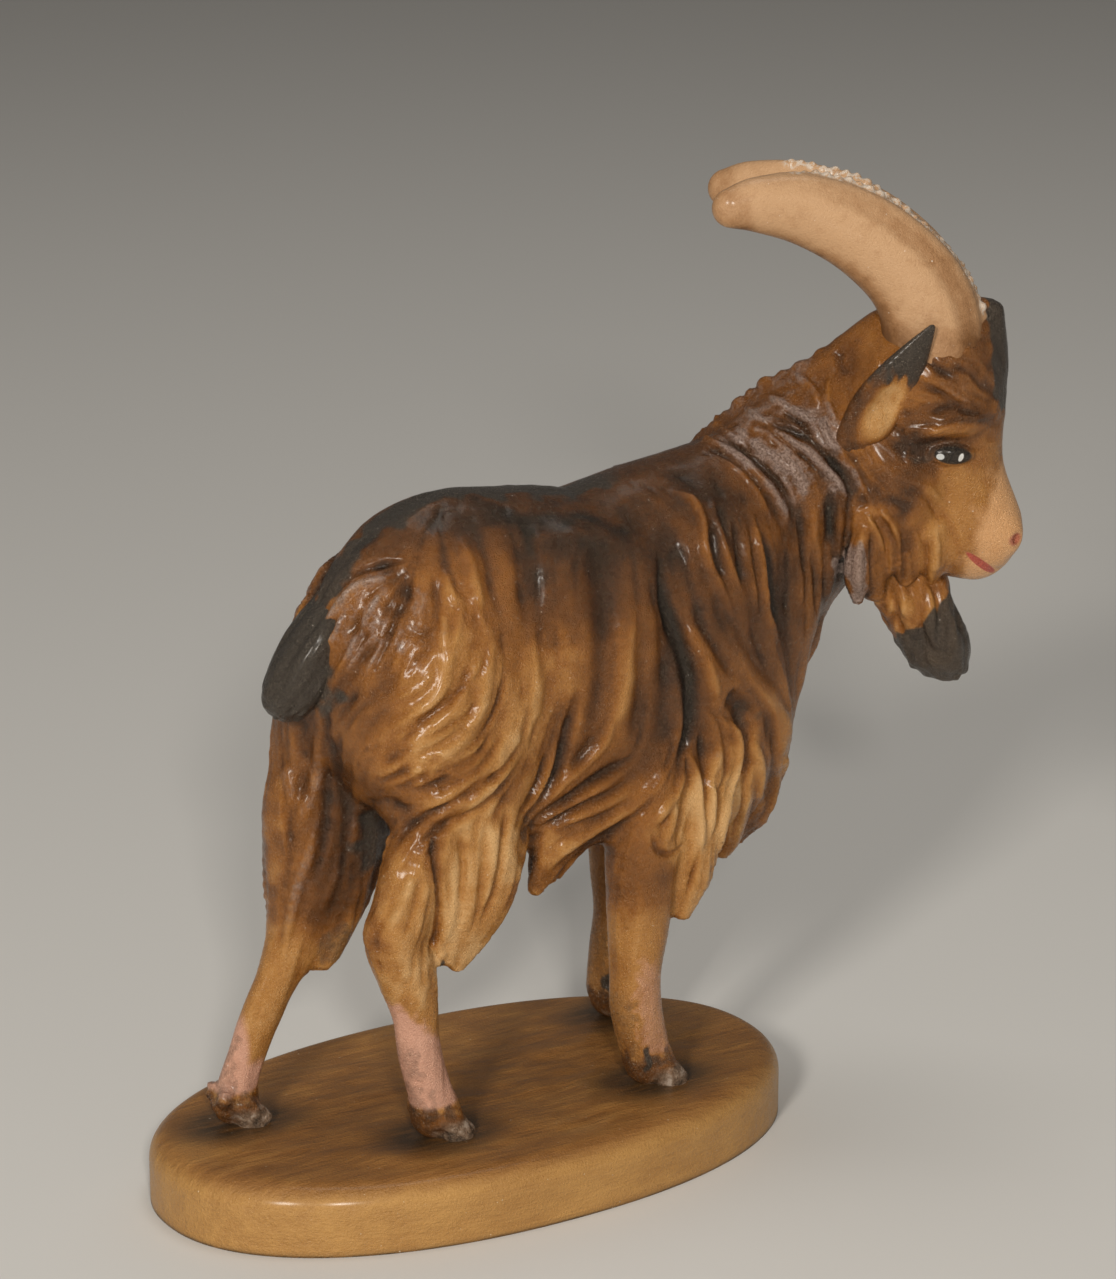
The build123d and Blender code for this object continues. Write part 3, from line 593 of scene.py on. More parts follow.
# ---------------------------------------------------------------- lie of the hair and its fine ripple
# Guides on the right: place, the way the hair lies, then the height of the fine and of the broad ripple.
GUIDES = [
    (10, 0, 79, -1, 0, 0, 0.08, 0.1), (-8, 0, 78, -0.9, 0, -0.4, 0.1, 0.1),
    (28, 0, 80, -0.9, -0.2, 0, 0.08, 0.1), (5, -12, 66, 0, 0, -1, 0.06, 0.2),
    (13, -12, 64, 0, 0, -1, 0.07, 0.22), (19, -12, 60, 0, 0, -1, 0.07, 0.3),
    (-6, -12, 58, -0.7, 0, -0.7, 0.24, 0.2), (-16, -6, 70, -0.7, 0, -0.7, 0.20, 0.15),
    (28, -11, 66, 0.1, 0, -1, 0.10, 0.2), (38, -8, 66, 0.1, 0, -1, 0.12, 0.25),
    (42, -4, 50, 0, 0, -1, 0.16, 0.4), (26, -11, 44, 0, 0, -1, 0.15, 0.2),
    (33, -6, 40, -0.1, 0, -1, 0.15, 0.3), (10, -9, 44, -0.9, 0, -0.4, 0.12, 0.15),
    (4, 0, 40, -0.8, 0, -0.5, 0.15, 0.3), (-6, -11, 38, 0, 0, -1, 0.10, 0.12),
    (-14, -10, 37, -0.4, 0, -0.9, 0.10, 0.1), (-13, -10, 20, 0, 0, -1, 0.05, 0.06),
    (17, -10, 20, 0, 0, -1, 0.05, 0.06), (26, -9, 22, 0, 0, -1, 0.05, 0.06),
    (-26, -5, 20, -0.3, 0, -1, 0.06, 0.12), (-20, -6, 34, -0.2, 0, -1, 0.1, 0.2),
    (-14, -13, 50, -0.3, 0, -1, 0.20, 0.25), (17, -10, 33, 0, 0, -1, 0.08, 0.1),
    (48, -12, 78, 0.5, 0, -0.8, 0.22, 0.2), (42, -9, 82, 0.6, 0, -0.7, 0.22, 0.2),
    (30, -2, 80, 0.6, 0, -0.6, 0.1, 0.1),
]
HEAD_GUIDES = [
    (12, 0, 88, 0, 0, -1, 0.10, 0.05), (8, -6, 88, 0, 0, -1, 0.16, 0.06),
    (2, -6, 90, -0.2, 0, -1, 0.14, 0.1), (9, -5, 74, 0.4, 0, -1, 0.03, 0.02),
    (14, -2, 70, 0.3, 0, -1, 0.01, 0.0), (12, -3, 65, 1, 0, 0, 0.01, 0.0), (6, -6, 80, 1, 0, 0, 0.02, 0.0),
    (2, -7, 76, 0.6, 0, -0.8, 0.08, 0.05), (-1, -7, 70, 0, 0, -1, 0.14, 0.1),
    (-5, -7, 66, 0, 0, -1, 0.14, 0.1), (4, -5, 66, 0, 0, -1, 0.10, 0.1),
    (-4, -6, 88, -0.4, 0, -0.9, 0.14, 0.15),
]


def both_sides(rows, place):
    """Guide rows for both sides, with places and directions put through the given frame."""
    out = []
    for x, y, z, dx, dy, dz, *size in rows:
        for side in (1, -1):
            start, tip = place(x, side * y, z), place(x + dx, side * (y + dy), z + dz)
            out.append([*start, *unit(np.subtract(tip, start)), *size])
    return out


FIELD_LOW, FIELD_STEP, FIELD_COUNT = np.array([-38.0, -22.0, 4.0]), 2.0, (57, 23, 52)


def spread(rows, power):
    """A coarse grid of the rows' last columns, weighted by nearness."""
    axes = [FIELD_LOW[k] + FIELD_STEP * np.arange(n) for k, n in enumerate(FIELD_COUNT)]
    at = np.stack(np.meshgrid(*axes, indexing="ij"), -1).reshape(-1, 3)
    out = np.empty((len(at), rows.shape[1] - 3))
    batch = 8000
    for i in range(0, len(at), batch):
        gap = ((at[i : i + batch, None] - rows[None, :, :3]) ** 2).sum(2)
        weight = 1 / (gap + 1.0) ** power
        out[i : i + batch] = weight @ rows[:, 3:] / weight.sum(1, keepdims=True)
    return out.reshape(*FIELD_COUNT, -1)


def read(grid, low, step, points):
    """Values of a grid at places, blended between its cells."""
    q = (points - low) / step
    i = np.clip(np.floor(q).astype(int), 0, np.array(grid.shape[:3]) - 2)
    out = 0
    for dx, dy, dz, w in corners(np.clip(q - i, 0, 1)):
        v = grid[i[:, 0] + dx, i[:, 1] + dy, i[:, 2] + dz]
        out = out + (w[:, None] * v if v.ndim == 2 else w * v)
    return out


def hair_grids():
    """The lie of the hair, and the heights of its fine and broad ripples, on coarse grids."""
    guides = both_sides(GUIDES, lambda x, y, z: np.array([x, y, z], float)) + both_sides(HEAD_GUIDES, head)
    guides = np.array(guides)
    ways = [guides[:, :6]]
    for _, _, path, _ in strokes:
        ways.append(np.hstack([path, unit(np.gradient(path, axis=0) + 1e-9)])[::4])
    return spread(np.vstack(ways), 2.0), spread(np.hstack([guides[:, :3], guides[:, 6:]]), 1.6)


flow_grid, ripple_grid = hair_grids()
LATTICE = 64
STATIC = RNG.normal(size=(LATTICE, LATTICE, LATTICE)).astype(np.float32)


def static(points, cell):
    """Random values on a lattice that repeats, blended smoothly."""
    q = points / cell + 500
    i = np.floor(q).astype(int)
    t = q - i
    out = np.zeros(len(points))
    for dx, dy, dz, w in corners(t * t * (3 - 2 * t)):
        out += w * STATIC[(i[:, 0] + dx) % LATTICE, (i[:, 1] + dy) % LATTICE, (i[:, 2] + dz) % LATTICE]
    return out


def ripple(points, normals, cell, reach):
    """Random ripples drawn out along the lie of the hair, of about unit height; none where it has no lie."""
    total = np.zeros(len(points))
    for sense in (1, -1):
        p = points.copy()
        for k in range(reach):
            if sense == 1 or k:
                total += static(p, cell)
            way = read(flow_grid, FIELD_LOW, FIELD_STEP, p)
            way = way - normals * dots(way, normals)[:, None]
            if sense == 1 and k == 0:
                lain = np.linalg.norm(way, axis=1)
            way /= np.linalg.norm(way, axis=1, keepdims=True) + 1e-3
            p = p + sense * cell * 0.5 * way
    return total / (total.std() + 1e-6) * ramp(lain, 0.35, 0.85)


def gouge(points, normals):
    """How far the strokes raise (first) and sink (second) each vertex."""
    high, deep = np.zeros(len(points)), np.zeros(len(points))
    for width, height, path, facing in strokes:
        low, top = path.min(0) - width, path.max(0) + width
        inside = np.flatnonzero(np.all((points > low) & (points < top), axis=1))
        if not len(inside):
            continue
        gap = ((points[inside, None] - path[None]) ** 2).sum(2)
        near = gap.argmin(1)
        t = near / (len(path) - 1)
        taper = np.clip(ramp(t, -0.1, 0.22) * ramp(t, 1.1, 0.75), 0.04, 1)
        x = np.clip(np.sqrt(gap.min(1)) / (width * (0.45 + 0.55 * taper)), 0, 1)
        x = np.where(dots(normals[inside], facing[near]) > 0.2, x, 1)
        target = high if height > 0 else deep
        target[inside] = np.maximum(target[inside], abs(height) * (1 - x * x) ** 1.5 * taper)
    return high, deep


# ---------------------------------------------------------------- paint
def patch(points, centre, radii, soft=0.5):
    """1 inside an ellipsoidal patch, fading out over its rim; used for paint, stain tone and painted shade.
    """
    d = np.linalg.norm((points - np.asarray(centre, float)) / np.asarray(radii, float), axis=1)
    return ramp(d, 1 + soft, 1 - soft * 0.5)


# Lighter and darker areas of the stain: centre, radii, amount. TONES are given on the right and repeated on
# the left; RIGHT_TONES are on the right only.
TONES = [
    (-6, -12, 60, 10, 7, 16, 0.13), (10.5, -12, 71, 8, 7, 5.5, -0.22), (21, -12, 66, 3.2, 6, 8, -0.10),
    (28, -11, 64, 7, 8, 11, -0.11), (40, -8, 68, 9, 8, 12, -0.04), (13, -12, 57, 6, 6, 9, 0.04),
    (9, -10, 42, 13, 8, 5, 0.10), (24, -11, 39, 5.5, 6, 8, 0.36), (-13, -8, 68, 3, 6, 4, -0.04),
    (33, -8, 44, 5, 6, 8, 0.10), (0, -12, 54, 5, 6, 9, 0.10),
]
RIGHT_TONES = [
    (4.4, -9, 36.5, 3.6, 5, 4.2, 0.24), (-6, -12, 38, 4.5, 5, 9, 0.46), (-14, -10, 34, 4, 5, 8, 0.30),
    (-20, 2, 44, 5.5, 6, 14, -0.05), (-25, 2, 44, 2.2, 7, 13, 0.25), (-2.6, -12, 32, 2, 5, 4, -0.14),
]
TONE_SOFT = 0.6
# Patches of paint and of painted shade: mask, amount, centre, radii and, where it isn't 0.5, softness. The
# pairs are given on the left and repeated on the right.
PATCHES = [
    # The first three black patches are painted shade: under the tail, between the hind legs, and in the
    # crease cut at the right thigh.
    ("black", 0.8, (-18, -1, 60), (4, 4.0, 3.6)), ("black", 0.7, (-10, -1, 43), (4.5, 5.5, 8)),
    ("black", 0.5, (0.6, -11, 43), (1.1, 3, 2.2)), ("black", 0.9, (-10.3, -12, 29.0), (0.8, 3, 1.0)),
    ("black", 0.5, (-16.6, 3, 28), (2.2, 4, 2.6)), ("pearl", 0.5, (-15.6, 3, 30.6), (3.0, 4, 2.0)),
    ("pearl", 0.40, (-20, 3, 43), (5.5, 4, 12)),
]
PAIRS = [
    # The black pair is painted shade in the creases cut behind the elbows.
    ("black", 0.5, (29.4, 11, 51.6), (1.5, 3, 1.8)), ("pearl", 0.66, (-16.5, 6, 70), (4.2, 5, 6)),
    ("pearl", 0.45, (-12, 9, 68), (2.6, 4, 4)), ("pearl", 0.7, (32.6, 10, 50), (1.2, 2, 1.4)),
    ("pearl", 0.6, (25, 11, 47.4), (0.9, 2, 2.2)),
]
HEAD_PATCHES = [
    ("pearl", 0.75, (-11.6, 0, 88.0), (3.2, 3.4, 2.4)), ("pearl", 0.60, (-17.4, 1, 84.6), (3.4, 4, 2.4)),
]
HEAD_PAIRS = [
    ("pearl", 1.15, (-13, 6, 81.5), (6.5, 5, 4.6)), ("pearl", 0.8, (-13.5, 5, 74.8), (2.6, 5, 4.0)),
    ("pearl", 0.9, (-7.5, 6, 77.6), (3.0, 5, 2.6)), ("pearl", 1.8, (-4.4, 6, 66.0), (1.6, 3, 4.4), 0.4),
    ("pearl", 0.4, (6.4, 6, 90.5), (4.2, 3, 4.5)), ("pearl", 0.35, (1.6, 7, 78.4), (3.6, 3, 2.6)),
    ("tone", 0.10, (6.5, 6, 74), (3.5, 4, 4.5)), ("tone", -0.16, (5.0, 6.5, 83.6), (5.8, 4, 2.6)),
    # The tone patch at (-7, 7, 76) is a painted shadow line along the seam between head and neck.
    ("tone", -0.22, (0.5, 7, 78), (4, 4, 4)), ("tone", -0.2, (-7, 7, 76), (1.6, 5, 5)),
    ("black", 0.5, (3.0, 6.5, 79.8), (2.4, 2, 0.8)),
]
# Shanks, in the order of HOOVES: how far the middle moves forward over 10 mm up, top of the pink, where the
# pink begins ahead of the middle (None: only on the back and the inside), its slant, and the strength of the
# pink and of the dark spot behind the claw.
SHANK_PAINT = [(-1.8, 21.6, -9.0, 0.9, 0.9, 0.4), (1.4, 23, None, 0, 0.95, 0.4),
               (-2.6, 25, -2.0, 0.9, 0.43, 0.8), (-1.0, 24, -0.4, 0.9, 0.43, 0.8)]
MASKS = ("tone", "black", "pearl", "pink", "pale", "hoof")


class Paint:
    """Stain and paint by place, with some painted shade and highlights: the tone of the stain, and the amount
    of each paint.
    """

    def __init__(self, points):
        self.points = points
        self.blur = points + 0.9 * np.stack([static(points + 31 * k, 1.6) for k in range(3)], 1)
        self.edge = 0.6 * static(points + 7, 0.9) + 0.3 * static(points + 3, 0.4)
        self.layers = {name: np.zeros(len(points)) for name in MASKS}
        self.lay("tone", 0.44)
        self.trunk()
        self.patches(self.blur, PATCHES, PAIRS)
        for hoof, row in zip(HOOVES, SHANK_PAINT):
            self.shank(hoof, *row)
        self.face()
        self.patches(in_head(self.blur), HEAD_PATCHES, HEAD_PAIRS)

    def lay(self, name, amount):
        """Adds to the tone, or makes a paint at least this strong."""
        if name == "tone":
            self.layers[name] += amount
        else:
            self.layers[name] = np.maximum(self.layers[name], amount)

    def patches(self, at, single, pairs):
        for name, amount, centre, radii, *soft in single:
            self.lay(name, amount * patch(at, centre, radii, *soft))
        for name, amount, (x, y, z), radii, *soft in pairs:
            for side in BOTH:
                self.lay(name, amount * patch(at, (x, side * y, z), radii, *soft))

    def trunk(self):
        """Light and dark areas, darker towards the back, with the black line down the spine."""
        x, _, z = self.points.T
        for *area, amount in TONES:
            for side in (1, -1):
                centre = area[0], side * area[1], area[2]
                self.lay("tone", amount * patch(self.blur, centre, area[3:], TONE_SOFT))
        for *area, amount in RIGHT_TONES:
            self.lay("tone", amount * patch(self.blur, area[:3], area[3:], TONE_SOFT))
        self.lay("tone", 0.30 * ramp(z, 34, 28) - 0.20 * ramp(z, 71, 78) * ramp(x, 40, 30))
        off = np.abs(self.blur[:, 1])
        width = np.interp(x, [-24, -14, -6, 2, 10, 18, 26], [1.8, 1.5, 1.9, 2.6, 2.8, 2.0, 0.6])
        self.lay("black", 0.92 * ramp(off, width + 1.4, width - 1.0) * ramp(z, 62, 68) * ramp(x, 27, 12))
        streak = ramp(np.abs(off - np.interp(x, [-2, 4, 16], [4.6, 6.0, 8.0])), 2.0, 0.2)
        self.lay("tone", -0.22 * streak * ramp(z, 71, 75) * ramp(x, -4, 1) * ramp(x, 20, 13))

    def shank(self, hoof, lean, top, front, slant, pink, spot):
        """Pink above the fetlock, darker behind it and round the fetlock, and a grey toe."""
        x, y, z = self.points.T
        hx, hy = hoof
        ahead = x - hx - lean * ramp(z, 8, 18)
        near = ramp(np.hypot(ahead, y - hy), 6, 5)
        belt = ramp(z + slant * ahead + self.edge, top + 0.8, top - 2.6) * ramp(z, 11.6, 12.8) * near
        if front is None:
            belt = belt * np.maximum(ramp(ahead, -0.4, -2.1), ramp(z, 17, 14) * ramp(y, hy, hy - 1.7))
        else:
            belt = belt * ramp(ahead + self.edge, front - 0.9, front + 0.7)
        self.lay("pink", pink * belt)
        self.lay("black", 0.42 * ramp(z, 23, 19) * near * ramp(ahead + self.edge, -1.8, -2.5))
        fetlock = near * ramp(np.abs(z + 0.7 * self.edge - 11.6), 1.3, 0.4)
        self.lay("black", 0.50 * fetlock * ramp(x - hx, 1.4, -0.6))
        self.lay("black", spot * patch(self.blur, (hx - 3.4, hy - 1.9, 12.6), (0.7, 1.8, 1.4)))
        self.lay("tone", -0.32 * near * ramp(z + self.edge, 12.6, 11.0))
        self.lay("hoof", near * ramp(z + 0.5 * self.edge, 11.0, 9.6) * ramp(x - hx + self.edge, -3.0, -1.0))

    def face(self):
        """Pale muzzle, lighter cheeks, a painted highlight on the brows, darker forehead with the black
        stripe down it.
        """
        (u, v, w), (bu, _, bw) = in_head(self.points).T, in_head(self.blur).T
        muzzle = ramp(bu - 0.25 * (bw - 71), 7.4, 12.0) * ramp(bw, 83, 77)
        self.lay("pale", muzzle * ramp(w, 60, 63) * ramp(u, -6, 2))
        self.lay("tone", ramp(u, 2, 4) * (0.12 * ramp(w, 84, 80) - 0.02 - 0.08 * ramp(bw, 84, 87)))
        self.lay("tone", 0.10 * ramp(u, -8, -4) * ramp(w, 60, 64))
        # Painted highlight along the brow ridge above each eye.
        for side in BOTH:
            self.lay("tone", 0.24 * patch(in_head(self.points), (6.6, side * 6, 83.2), (3.2, 3, 1.0), 0.4))
        self.lay("black", 0.9 * ramp(bu, 10.4, 11.6) * ramp(bw, 83.4, 86) * ramp(np.abs(v), 4.6, 3.4))


# ---------------------------------------------------------------- from clay to pieces
def attribute(mesh, name, values):
    """Stores one number per vertex."""
    data = mesh.attributes.new(name, "FLOAT", "POINT").data
    data.foreach_set("value", np.ascontiguousarray(values, np.float32))


def sawn(bm, cuts, keep):
    """Cuts a mesh at planes given in millimetres, drops what isn't kept and closes the rims."""
    for point, normal, where in cuts:
        local = [f for f in bm.faces if where(np.array(f.calc_center_median()) / MM)]
        edges = {e for f in local for e in f.edges}
        verts = {v for f in local for v in f.verts}
        bmesh.ops.bisect_plane(bm, geom=[*verts, *edges, *local], dist=1e-7, plane_co=Vector(point) * MM,
                               plane_no=Vector(normal))
    drop = [f for f in bm.faces if not keep(np.array(f.calc_center_median()) / MM)]
    bmesh.ops.delete(bm, geom=drop, context="FACES")
    rim = [e for e in bm.edges if len(e.link_faces) == 1]
    if rim:
        bmesh.ops.holes_fill(bm, edges=rim, sides=0)
        for e in rim:
            e.smooth = False


def piece(name, points, faces, material, node, layers, cuts=(), keep=lambda p: True):
    """Makes a piece in metres from millimetre points, sawn at the cuts and closed again."""
    mesh = bpy.data.meshes.new(name)
    mesh.from_pydata([tuple(p) for p in points * MM], [], [tuple(int(i) for i in q) for q in faces])
    for key, values in layers.items():
        attribute(mesh, key, values)
    bm = bmesh.new()
    bm.from_mesh(mesh)
    if cuts:
        sawn(bm, cuts, keep)
    bmesh.ops.recalc_face_normals(bm, faces=bm.faces)
    flat = [f for f in bm.faces if len(f.verts) > 6]  # the sawn ends
    for f in bm.faces:
        f.smooth = len(f.verts) <= 6
    bmesh.ops.triangulate(bm, faces=flat)
    bm.to_mesh(mesh)
    bm.free()
    obj = bpy.data.objects.new(name, mesh)
    bpy.context.scene.collection.objects.link(obj)
    mesh.materials.append(material)
    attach(obj, "root")
    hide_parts(node)


def hollows(points, normals, field, low, cell):
    """How shut in each vertex is, 0 in the open to 1 deep in a fold, from the clay's own distances."""
    out = np.zeros(len(points))
    for step, share in ((1.2, 0.4), (2.8, 0.6)):
        away = read(field, low, cell, points + normals * step)
        out += share * np.clip((step * 0.92 - away) / step, 0, 1)
    return out


FINE_CELL, BROAD_CELL = 0.95, 2.6


def dressed(low, high, cell):
    """Carves the animal's clay inside a box and returns vertices, quads and shader layers."""
    low = np.asarray(low, float)
    field = goat.field(low, high, cell)
    points, quads = surface(field, low, cell)
    normals = normals_of(points, quads)
    pooled_stain_and_shade = hollows(points, normals, field, low, cell)
    raised, deep = gouge(points, normals)
    fine_height, broad_height = read(ripple_grid, FIELD_LOW, FIELD_STEP, points).T
    reach = 14
    fine = ripple(points, normals, FINE_CELL, reach)
    fine = fine_height * (0.5 * fine + 0.7 * (0.8 - np.abs(fine)))
    broad = broad_height * ripple(points, normals, BROAD_CELL, reach // 2)
    rise = raised - deep + fine + broad - 0.25 * (fine_height + broad_height)
    layers = Paint(points).layers
    # Stain tone: lighter on ridges and ripples, darker in grooves; the fold term darkens deep folds, partly
    # stain pooled there and partly painted shade.
    layers["tone"] += 0.30 * np.clip(raised, 0, 0.9) - 0.44 * deep + 0.7 * fine + 0.35 * broad - 0.48 * pooled_stain_and_shade
    layers["pearl"] *= np.clip(0.35 + 1.1 * raised + 2.2 * fine - deep, 0, 1)
    return points + normals * rise[:, None], quads, layers


# ---------------------------------------------------------------- materials
class Nodes:
    """Short-hand for building one material's node tree."""

    def __init__(self, name):
        self.material = bpy.data.materials.new(name)
        self.material.use_nodes = True
        self.tree = self.material.node_tree
        self.tree.nodes.clear()
        self.surface = self.make("BsdfPrincipled")
        self.link(self.surface.outputs[0], self.make("OutputMaterial").inputs[0])

    def make(self, kind, **props):
        node = self.tree.nodes.new("ShaderNode" + kind)
        for key, value in props.items():
            setattr(node, key, value)
        return node

    def link(self, a, b):
        self.tree.links.new(a, b)

    def put(self, socket, value):
        """Sets a socket to a number or colour, or links another socket into it."""
        if isinstance(value, bpy.types.NodeSocket):
            self.link(value, socket)
        elif isinstance(value, tuple) and socket.type == "RGBA":
            socket.default_value = (*value, 1)
        else:
            socket.default_value = value

    def layer(self, name):
        return self.make("Attribute", attribute_name=name).outputs["Fac"]

    def place(self):
        """Row-frame position in millimetres."""
        return self.stretched(self.make("TexCoord").outputs["Object"], (1 / MM,) * 3)

    def stretched(self, where, scale):
        node = self.make("VectorMath", operation="MULTIPLY")
        self.link(where, node.inputs[0])
        node.inputs[1].default_value = scale
        return node.outputs[0]

    def maths(self, operation, a, b):
        node = self.make("Math", operation=operation)
        self.put(node.inputs[0], a)
        self.put(node.inputs[1], b)
        return node.outputs[0]

    def plus(self, a, b):
        return self.maths("ADD", a, b)

    def times(self, a, b):
        return self.maths("MULTIPLY", a, b)

    def swing(self, noise, amount):
        """A noise moved to swing about nought."""
        return self.times(self.maths("SUBTRACT", noise, 0.5), amount)

    def noise(self, where, scale, detail=2.0, rough=0.5):
        node = self.make("TexNoise")
        self.link(where, node.inputs["Vector"])
        node.inputs["Scale"].default_value = scale
        node.inputs["Detail"].default_value = detail
        node.inputs["Roughness"].default_value = rough
        return node.outputs["Fac"]

    def remap(self, value, a, b, c=0.0, d=1.0):
        node = self.make("MapRange", interpolation_type="SMOOTHSTEP")
        self.put(node.inputs[0], value)
        for i, x in enumerate((a, b, c, d)):
            node.inputs[i + 1].default_value = x
        return node.outputs[0]

    def colours(self, value, stops):
        node = self.make("ValToRGB")
        self.put(node.inputs[0], value)
        while len(node.color_ramp.elements) < len(stops):
            node.color_ramp.elements.new(0.5)
        for element, (at, colour) in zip(node.color_ramp.elements, stops):
            element.position = at
            element.color = (*colour, 1)
        return node.outputs[0]

    def mix(self, amount, a, b):
        node = self.make("Mix", data_type="RGBA")
        self.put(node.inputs[0], amount)
        self.put(node.inputs[6], a)
        self.put(node.inputs[7], b)
        return node.outputs[2]

    def spot(self, centre, radii, turn=0.0, edge=0.12):
        """1 inside an ellipsoid in millimetres, turned with the head and tipped by turn radians."""
        node = self.make("Mapping", vector_type="TEXTURE")
        self.link(self.place(), node.inputs[0])
        node.inputs[1].default_value = tuple(centre)
        node.inputs[2].default_value = (0, turn, HEAD_YAW)
        node.inputs[3].default_value = tuple(radii)
        size = self.make("VectorMath", operation="LENGTH")
        self.link(node.outputs[0], size.inputs[0])
        return self.remap(size.outputs["Value"], 1 + edge, 1 - edge)

    def finish(self, colour, rough, bump, depth):
        """Base colour under a thin warm varnish, over a fine grain of the given depth in metres."""
        self.put(self.surface.inputs["Base Color"], colour)
        self.put(self.surface.inputs["Roughness"], rough)
        for name, value in VARNISH.items():
            self.surface.inputs[name].default_value = value
        node = self.make("Bump")
        node.inputs["Strength"].default_value = 1.0
        node.inputs["Distance"].default_value = depth
        self.put(node.inputs["Height"], bump)
        self.link(node.outputs[0], self.surface.inputs["Normal"])
        return self.material


VARNISH = {"Specular IOR Level": 0.6, "Specular Tint": (1.0, 0.82, 0.62, 1), "Coat Weight": 0.20,
           "Coat Roughness": 0.18}
STAIN = [(0.0, (0.008, 0.005, 0.004)), (0.22, (0.042, 0.014, 0.004)), (0.42, (0.130, 0.043, 0.006)),
         (0.60, (0.255, 0.092, 0.014)), (0.80, (0.420, 0.194, 0.050)), (1.0, (0.580, 0.340, 0.140))]
TOE = [(0.36, (0.06, 0.040, 0.028)), (0.52, (0.20, 0.13, 0.085)), (0.66, (0.46, 0.37, 0.30))]
HORN = [(0.0, (0.48, 0.285, 0.150)), (0.3, (0.35, 0.184, 0.084)), (0.65, (0.17, 0.072, 0.022)),
        (1.0, (0.055, 0.024, 0.010))]
PLINTH_SIDE = [(0.28, (0.30, 0.140, 0.035)), (0.75, (0.52, 0.285, 0.086))]
PLINTH_TOP = [(0.30, (0.125, 0.047, 0.011)), (0.50, (0.270, 0.118, 0.029)), (0.74, (0.440, 0.222, 0.060))]
# Paints over the stain: layer, how ragged the brushing is, where it starts and is full, its strength, and its
# darkest and lightest colours.
PEARL = ("pearl", 0.8, 0.18, 0.75, 0.85, (0.11, 0.070, 0.055), (0.34, 0.255, 0.225))
PINK = ("pink", 0.30, 0.10, 0.85, 0.90, (0.50, 0.25, 0.17), (0.72, 0.41, 0.31))
PALE = ("pale", 0.25, 0.15, 0.9, 1.0, (0.56, 0.275, 0.105), (0.68, 0.39, 0.19))
BLACK = ("black", 0.35, 0.25, 0.75, 0.95, (0.010, 0.009, 0.008), (0.052, 0.046, 0.040))


def painted_glints(n, where, colour, light):
    """Painted glints: pin-point highlights of the grainy varnish, mixed over a colour."""
    cell = n.make("TexVoronoi", feature="F1")
    n.link(where, cell.inputs["Vector"])
    cell.inputs["Scale"].default_value = 1.15
    chosen = n.remap(n.noise(where, 2.9, 2, 0.6), 0.60, 0.66)
    return n.mix(n.times(n.remap(cell.outputs["Distance"], 0.15, 0.08, 0.0, 0.75), chosen), colour, light)


def coat(name, face=False):
    """Stained carved hair: dark in the cuts, painted shade in deep folds, rubbed light on the ridges, the
    paints over it.
    """
    n = Nodes(name)
    where = n.place()
    cloud = n.noise(where, 0.35, 4.0, 0.65)
    grit = n.noise(where, 3.6, 3.0, 0.75)
    brush = n.swing(n.noise(where, 1.3, 4, 0.7), 1.3)
    colour = n.colours(n.plus(n.plus(n.layer("tone"), n.swing(cloud, 0.30)), n.swing(grit, 0.26)), STAIN)
    patchy = n.remap(grit, 0.35, 0.65)
    for paint, grain in ((PEARL, patchy), (PINK, cloud), (PALE, cloud), (BLACK, grit)):
        layer, ragged, start, full, strength, dark, light = paint
        amount = n.remap(n.plus(n.layer(layer), n.times(brush, ragged)), start, full, 0.0, strength)
        colour = n.mix(amount, colour, n.mix(grain, dark, light))
    colour = n.mix(n.layer("hoof"), colour, n.colours(n.noise(where, 0.8, 3), TOE))
    if face:
        colour = face_paint(n, colour)
    colour = painted_glints(n, where, colour, (0.78, 0.70, 0.62))
    rough = n.remap(n.noise(where, 1.6, 3), 0.3, 0.7, 0.19, 0.36)
    return n.finish(colour, rough, n.plus(grit, n.noise(where, 7.0, 2, 0.7)), 0.00018)


def face_paint(n, colour):
    """Eyes with two white lights, a red nostril and a red mouth line, on both sides."""
    for side in BOTH:
        for centre, radii, turn, edge, paint in (
            (head(6.5, side * 6.2, 80.0), (2.25, 1.9, 1.08), 0.1, 0.12, (0.010, 0.009, 0.009)),
            (head(5.0, side * 6.8, 79.9), (0.48, 1.5, 0.38), 0.0, 0.12, (0.60, 0.62, 0.62)),
            (head(7.4, side * 6.4, 79.8), (0.27, 1.5, 0.52), 0.35, 0.12, (0.70, 0.70, 0.68)),
            (head(14.2, side * 3.1, 69.2), (0.9, 1.3, 0.8), 0.0, 0.3, (0.42, 0.13, 0.075)),
            (head(10.9, side * 3.9, 65.9), (3.1, 2.4, 0.48), 0.70, 0.12, (0.40, 0.075, 0.05)),
        ):
            colour = n.mix(n.spot(centre, radii, turn, edge), colour, paint)
    return colour


def horn_material():
    """Pale bare wood, browner at the root; browner in the hollow and under the curve, partly the wood's own
    and partly painted shade; white round the nodules.
    """
    n = Nodes("horn")
    where = n.place()
    streak = n.noise(where, 0.55, 4, 0.65)
    grit = n.noise(where, 3.8, 3, 0.75)
    colour = n.colours(n.plus(n.plus(n.layer("browning_and_painted_shade"), n.swing(streak, 0.75)), n.swing(grit, 0.34)), HORN)
    fleck = n.times(n.layer("ridge"), n.remap(n.noise(where, 1.5, 3, 0.7), 0.42, 0.56, 0.05, 0.8))
    colour = n.mix(fleck, colour, (0.60, 0.54, 0.47))
    nick = n.spot(head(8.6, -3.4, 101.0), (0.35, 1.6, 0.6), 0.4)
    colour = painted_glints(n, where, n.mix(nick, colour, (0.012, 0.010, 0.009)), (0.85, 0.76, 0.66))
    return n.finish(colour, n.remap(streak, 0.3, 0.7, 0.34, 0.5), grit, 0.00012)


